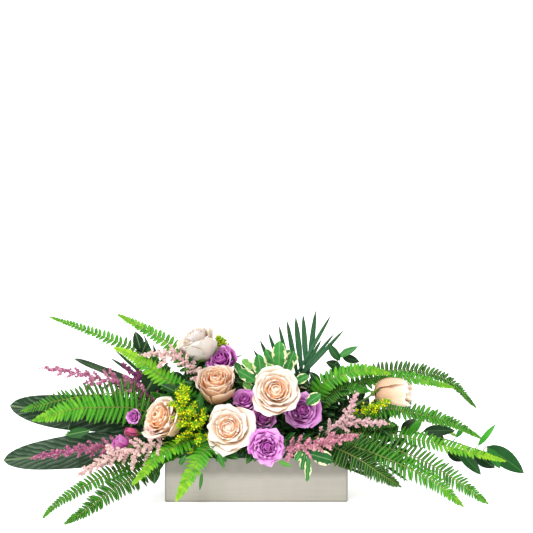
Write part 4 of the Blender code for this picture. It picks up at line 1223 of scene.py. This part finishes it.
def leaf_colour(m, stops, rib_colour, rib_width, blots_mm):
    """Leaf colour from its freshness (on the ruscus, painted light and shade), with a paler midrib and
    cloudy blots.
    """
    fresh = m.node("Math", {0: m.clouds(blots_mm), 1: 0.35}, operation="MULTIPLY")
    fresh = m.node("Math", {0: "tint", 1: fresh}, operation="ADD")
    fresh = m.node("Math", {0: fresh, 1: 0.17}, operation="SUBTRACT", use_clamp=True)
    colour = m.node("ValToRGB", {"Fac": fresh}, stops=stops)
    rib = m.node("Math", {0: "across"}, operation="ABSOLUTE")
    rib = m.node("Math", {0: rib, 1: rib_width}, operation="LESS_THAN")
    rib = m.node("Math", {0: rib, 1: 0.45}, operation="MULTIPLY")
    return m.node("Mix", {0: rib, 6: colour, 7: rib_colour}, **COLOURS)


def fern_blade():
    """Fern leaflet: thin living leaf with a soft wax sheen, dark old growth to lime new growth."""
    m = Recipe("fern leaflet", 0.55, gloss=0.15)
    colour = leaf_colour(m, [(0.0, "#0A3006"), (0.3, "#1D600A"), (0.6, "#3A900F"), (1.0, "#98C820")],
                         "#8DB05A", 0.16, 9)
    under = m.node("Math", {0: "outer", 1: 0.2}, operation="MULTIPLY")
    return m.finish(m.node("Mix", {0: under, 6: colour, 7: "#7FA35A"}, **COLOURS))


def stalk():
    """Green stem: smooth young bark, a little waxy."""
    m = Recipe("green flower stem", 0.5, gloss=0.25)
    return m.finish(leaf_colour(m, [(0.0, "#2D4A1B"), (0.4, "#4F7A2B"), (1.0, "#93B45A")],
                                "#4F7A2B", 0.0, 20))


def rose_leaf():
    """Rose leaf: leathery, deep green, slightly glossy, with a paler rib."""
    m = Recipe("rose leaf", 0.5, gloss=0.2)
    colour = leaf_colour(m, [(0.0, "#0C2A0E"), (0.35, "#1C5218"), (0.7, "#337822"), (1.0, "#63A236")],
                         "#7FA868", 0.08, 12)
    return m.finish(colour, m.clouds(3.0), 0.0005, 0.3)


def fern_rib():
    """Fern rachis: wiry and matt, dull olive at the foot and yellower towards the tip."""
    m = Recipe("fern rachis, olive wiry stem", 0.55)
    return m.finish(m.node("ValToRGB", {"Fac": "along"}, stops=[
        (0.0, "#4E5A1E"), (0.6, "#6E7A2C"), (1.0, "#86962E")]))


def striped_blade():
    """Broad ornamental leaf: thick, polished and nearly black green, with grey-green stripes
    that run slantwise from the rib to the edge."""
    m = Recipe("striped broad leaf, polished", 0.38, gloss=0.25)
    away = m.node("Math", {0: "across"}, operation="ABSOLUTE")
    slant = m.node("Math", {0: away, 1: 0.8}, operation="POWER")
    slant = m.node("Math", {0: slant, 1: 3.2}, operation="MULTIPLY")
    climb = m.node("Math", {0: "along", 1: 9.0}, operation="MULTIPLY")
    sweep = m.node("Math", {0: slant, 1: climb}, operation="SUBTRACT")
    waver = m.node("Math", {0: m.clouds(22.0), 1: 0.9}, operation="MULTIPLY")
    sweep = m.node("Math", {0: sweep, 1: waver}, operation="ADD")
    wave = m.node("Math", {0: sweep, 1: 7.5}, operation="MULTIPLY")
    wave = m.node("Math", {0: wave}, operation="SINE")
    stripe = m.node("MapRange", {"Value": wave, "From Min": 0.30, "From Max": 0.85})
    broken = m.node("MapRange", {"Value": m.clouds(16.0), "From Min": 0.36, "From Max": 0.55})
    stripe = m.node("Math", {0: stripe, 1: broken}, operation="MULTIPLY")
    colour = m.node("Mix", {0: stripe, 6: "#0E3014", 7: "#465E44"}, **COLOURS)
    fine = m.node("Math", {0: sweep, 1: 31.0}, operation="MULTIPLY")
    fine = m.node("Math", {0: fine}, operation="SINE")
    fine = m.node("Math", {0: fine, 1: 0.2}, operation="MULTIPLY", use_clamp=True)
    colour = m.node("Mix", {0: fine, 6: colour, 7: "#2C5A2A"}, **COLOURS)
    rib = m.node("Math", {0: away, 1: 0.045}, operation="LESS_THAN")
    rib = m.node("Math", {0: rib, 1: 0.7}, operation="MULTIPLY")
    colour = m.node("Mix", {0: rib, 6: colour, 7: "#6C7E57"}, **COLOURS)
    return m.finish(colour, wave, 0.0007, 0.3)


def ruscus_blade():
    """Ruscus leaf: hard, smooth and glossy, from blackish green to bright green where light falls."""
    m = Recipe("ruscus leaf, hard and glossy", 0.36, gloss=0.3)
    colour = leaf_colour(m, [(0.0, "#0A2A0E"), (0.35, "#15501A"), (0.7, "#24861A"), (1.0, "#50B020")],
                         "#4F8A3E", 0.05, 22)
    return m.finish(colour)


def cream_edged_blade():
    """Variegated pittosporum leaf: thin and wavy, green with an uneven cream margin."""
    m = Recipe("variegated leaf, cream edged", 0.5, gloss=0.2)
    edge = m.node("Math", {0: "across"}, operation="ABSOLUTE")
    uneven = m.node("Math", {0: m.clouds(6.0, 3.0), 1: 0.5}, operation="SUBTRACT")
    edge = m.node("Math", {0: edge, 1: uneven}, operation="ADD")
    tip = m.node("Math", {0: "along", 1: 6.0}, operation="POWER")
    tip = m.node("Math", {0: tip, 1: 0.3}, operation="MULTIPLY")
    edge = m.node("Math", {0: edge, 1: tip}, operation="ADD")
    margin = m.node("MapRange", {"Value": edge, "From Min": 0.68, "From Max": 0.78})
    green = leaf_colour(m, [(0.0, "#1F5A2A"), (0.5, "#3C8A3A"), (1.0, "#78AE52")], "#8FBF70", 0.06, 8)
    return m.finish(m.node("Mix", {0: margin, 6: green, 7: "#E4EAB4"}, **COLOURS))


def palm_blade():
    """Palm frond: stiff ribbed blade, dark green, with painted bluish sheen down its middle and on its
    rib crests.
    """
    m = Recipe("palm blade, ribbed, waxy", 0.42, gloss=0.25)
    ribs = m.node("Math", {0: "across", 1: 19.0}, operation="MULTIPLY")
    ribs = m.node("Math", {0: ribs}, operation="SINE")
    # Dark at the foot and tip; the bluish green towards the middle is painted sheen.
    colour = m.node("ValToRGB", {"Fac": "along"}, stops=[
        (0.0, "#1B4A2A"), (0.35, "#3A6E4A"), (0.6, "#2A6234"), (1.0, "#0F3A12")])
    # Painted sheen on the rib crests.
    crest_sheen = m.node("Math", {0: ribs, 1: 0.25}, operation="MULTIPLY", use_clamp=True)
    colour = m.node("Mix", {0: crest_sheen, 6: colour, 7: "#5A936C"}, **COLOURS)
    dark = m.node("Math", {0: "tint", 1: 0.4}, operation="MULTIPLY")
    colour = m.node("Mix", {0: dark, 6: colour, 7: "#1C4526"}, **COLOURS)
    return m.finish(colour, ribs, 0.0004, 0.3)


def astilbe_floret():
    """Astilbe floret: tiny matt petals, pale blush pink to deep mauve, some salmon."""
    m = Recipe("astilbe floret", 0.8, gloss=0.1)
    points = m.node("Math", {0: "along", 1: -0.08}, operation="MULTIPLY")
    tint = m.node("Math", {0: "tint", 1: points}, operation="ADD", use_clamp=True)
    mauve = m.node("ValToRGB", {"Fac": tint}, stops=[
        (0.0, "#EBD3CF"), (0.25, "#DDB0BC"), (0.6, "#BC6F9B"), (1.0, "#84406F")])
    salmon = m.node("ValToRGB", {"Fac": tint}, stops=[
        (0.0, "#F0D9C4"), (0.5, "#D58288"), (1.0, "#B34A6E")])
    return m.finish(m.node("Mix", {0: "pale", 6: mauve, 7: salmon}, **COLOURS))


def astilbe_stalk():
    """Astilbe stem: thin and smooth, green flushed with rose."""
    m = Recipe("astilbe stem, rose flushed", 0.5)
    return m.finish(m.node("Mix", {0: "tint", 6: "#8C9A55", 7: "#B04A66"}, **COLOURS))


def golden_bud():
    """Goldenrod bud: small, matt and bright yellow, some still green."""
    m = Recipe("goldenrod bud", 0.7, gloss=0.15)
    return m.finish(m.node("ValToRGB", {"Fac": "tint"}, stops=[
        (0.0, "#C4D41C"), (0.35, "#EEDF0C"), (1.0, "#FFF024")]))


def feather_green():
    """Goldenrod bract: needle-fine soft green leaf."""
    m = Recipe("goldenrod bract", 0.6, gloss=0.15)
    return m.finish(m.node("ValToRGB", {"Fac": "tint"}, stops=[
        (0.0, "#3C8010"), (0.6, "#78B81C"), (1.0, "#B4D02A")]))


def pewter():
    """Planter metal: sheet zinc with a satin pewter finish and brushed streaks, with light and shade
    painted on: a darker top of painted reflected shade from the flowers, pale bands of painted
    reflection, and painted shade at the foot and corners."""
    m = Recipe("satin pewter sheet", 0.42, metallic=0.75)
    where = m.node("TexCoord", out="Object")
    height = m.node("SeparateXYZ", {"Vector": where}, out="Z")
    # Pale vertical bands of painted reflection; they also waver the lower edge of the painted shade band.
    reflection_bands = m.clouds(14.0, 2.0, (1.0, 1.0, 0.06))
    streaks = m.clouds(7.0, 4.0, (0.08, 1.0, 1.6))
    uneven = m.node("Math", {0: reflection_bands, 1: 0.008}, operation="MULTIPLY")
    level = m.node("Math", {0: height, 1: uneven}, operation="ADD")
    # Painted shade: the top of the front is darker, for the flowers' shade reflected in the metal.
    shaded_top = m.node("MapRange", {"Value": level, "From Min": 0.044, "From Max": 0.056})
    colour = m.node("Mix", {0: shaded_top, 6: "#ABA79D", 7: "#807D75"}, **COLOURS)
    # Painted shade: darker along the planter's vertical corners and along its foot.
    near = []
    for axis, edge in (("X", PLANTER_LENGTH * MM / 2), ("Y", PLANTER_DEPTH * MM / 2)):
        away = m.node("SeparateXYZ", {"Vector": where}, out=axis)
        away = m.node("Math", {0: away}, operation="ABSOLUTE")
        near.append(m.node("MapRange", {"Value": away, "From Min": edge - 0.0035,
                                        "From Max": edge - 0.001}))
    corner_shade = m.node("Math", {0: near[0], 1: near[1]}, operation="MULTIPLY")
    foot = m.node("MapRange", {"Value": height, "From Min": 0.004, "From Max": 0.001})
    # Corner and foot marks are painted shade and the bands painted reflection; the streaks are the
    # brushed finish.
    for place, strength, shade in ((corner_shade, 0.5, "#6E6B62"), (foot, 0.7, "#5A574C"),
                                   (reflection_bands, 0.25, "#C8C2B6"), (streaks, 0.30, "#7B776B")):
        amount = m.node("Math", {0: place, 1: strength}, operation="MULTIPLY")
        colour = m.node("Mix", {0: amount, 6: colour, 7: shade}, **COLOURS)
    return m.finish(colour, streaks, 0.0003, 0.15)


def wet_foam():
    """Floral foam: soaked phenolic foam, matt, dark green and finely porous."""
    m = Recipe("soaked floral foam", 0.85)
    pores = m.clouds(2.5, 3.0)
    return m.finish(m.node("ValToRGB", {"Fac": pores}, stops=[(0.3, "#12301A"), (0.7, "#2C5A33")]),
                    pores, 0.0008, 0.6)


CREAM_PETAL = cream_petal()
LAVENDER_PETAL = lavender_petal()
FERN_BLADE = fern_blade()
FERN_RIB = fern_rib()
STALK = stalk()
ROSE_LEAF_GREEN = rose_leaf()
STRIPED_BLADE = striped_blade()
RUSCUS_BLADE = ruscus_blade()
CREAM_EDGED = cream_edged_blade()
PALM_BLADE = palm_blade()
ASTILBE_FLORET = astilbe_floret()
ASTILBE_STALK = astilbe_stalk()
GOLDEN_BUD = golden_bud()
FEATHER_GREEN = feather_green()

# ---------------------------------------------------------------- putting it together

for node_name, finish in (("planter_box", pewter()), ("floral_foam", wet_foam())):
    node = bpy.data.objects[node_name]
    node.data.materials.clear()
    node.data.materials.append(finish)

for name, spec in CREAM_ROSES.items():
    make_rose(name, spec, CREAM_PETAL, "cream_petal")
for name, spec in SPRAY_ROSES.items():
    make_rose(name, spec, LAVENDER_PETAL, "lavender_petal")
for name, spec in FERNS.items():
    make_fern(name, spec)
for name, spec in BROAD_LEAVES.items():
    make_broad_leaf(name, spec)
for name, spec in RUSCUS.items():
    make_sprig(name, spec, RUSCUS_BLADE, "ruscus_leaf", LEAF, 0.15, 0.0)
for name, spec in VARIEGATED.items():
    make_sprig(name, spec, CREAM_EDGED, "variegated_leaf", OVAL, 0.25, 0.2)
for name, spec in ASTILBE.items():
    make_astilbe(name, spec)
for name, spec in GOLDENROD.items():
    make_goldenrod(name, spec)
for name, spec in PALMS.items():
    make_palm(name, spec)

# ---------------------------------------------------------------- studio


# The camera stands in front and a little above, tilted slightly down. Metres, degrees and mm.
CAMERA_PLACE = (0.017, -2.101, 0.581)
CAMERA_TILT = 84.8
LENS = 84.97
FLOOR_SIZE = 12.0

# Lamps: place, width, power.
LAMPS = {"key": ((-0.9, -1.7, 1.3), 0.9, 13), "back": ((0.3, 1.6, 1.5), 1.2, 8)}


def studio():
    """A white sweep of floor, a white surround, and soft lamps from above and the front."""
    deselect()
    bpy.ops.mesh.primitive_plane_add(size=FLOOR_SIZE, location=(0, 0, 0))
    floor = bpy.context.object
    floor.name = "studio_floor"
    paper = Recipe("white paper sweep", 0.9)
    paper.shader.inputs["Base Color"].default_value = linear("#FAFAFA")
    paper.shader.inputs["Emission Color"].default_value = (1, 1, 1, 1)
    paper.shader.inputs["Emission Strength"].default_value = 0.58
    floor.data.materials.append(paper.material)

    world = bpy.data.worlds.new("studio")
    bpy.context.scene.world = world
    world.use_nodes = True
    tree = world.node_tree
    soft = tree.nodes["Background"]
    soft.inputs["Color"].default_value = (1, 1, 1, 1)
    soft.inputs["Strength"].default_value = 0.65
    seen = tree.nodes.new("ShaderNodeBackground")
    seen.inputs["Color"].default_value = (1, 1, 1, 1)
    either = tree.nodes.new("ShaderNodeMixShader")
    tree.links.new(tree.nodes.new("ShaderNodeLightPath").outputs["Is Camera Ray"], either.inputs[0])
    tree.links.new(soft.outputs[0], either.inputs[1])
    tree.links.new(seen.outputs[0], either.inputs[2])
    tree.links.new(either.outputs[0], tree.nodes["World Output"].inputs["Surface"])

    sun = bpy.data.lights.new("skylight", "SUN")
    sun.energy = 2.2
    sun.angle = math.radians(40)
    overhead = bpy.data.objects.new("skylight", sun)
    bpy.context.scene.collection.objects.link(overhead)
    overhead.rotation_euler = (math.radians(32), math.radians(-14), 0)

    for name, (place, size, power) in LAMPS.items():
        lamp = bpy.data.lights.new(name, "AREA")
        lamp.size = size
        lamp.energy = power
        obj = bpy.data.objects.new(name, lamp)
        bpy.context.scene.collection.objects.link(obj)
        obj.location = place
        obj.rotation_euler = (Vector((0, 0, 0.12)) - Vector(place)).to_track_quat("-Z", "Y").to_euler()

    lens = bpy.data.cameras.new("camera")
    lens.lens = LENS
    lens.sensor_width = 36.0
    camera = bpy.data.objects.new("camera", lens)
    bpy.context.scene.collection.objects.link(camera)
    camera.location = CAMERA_PLACE
    camera.rotation_euler = (math.radians(CAMERA_TILT), 0, 0)
    bpy.context.scene.camera = camera
    bpy.context.scene.view_settings.view_transform = "Standard"


studio()
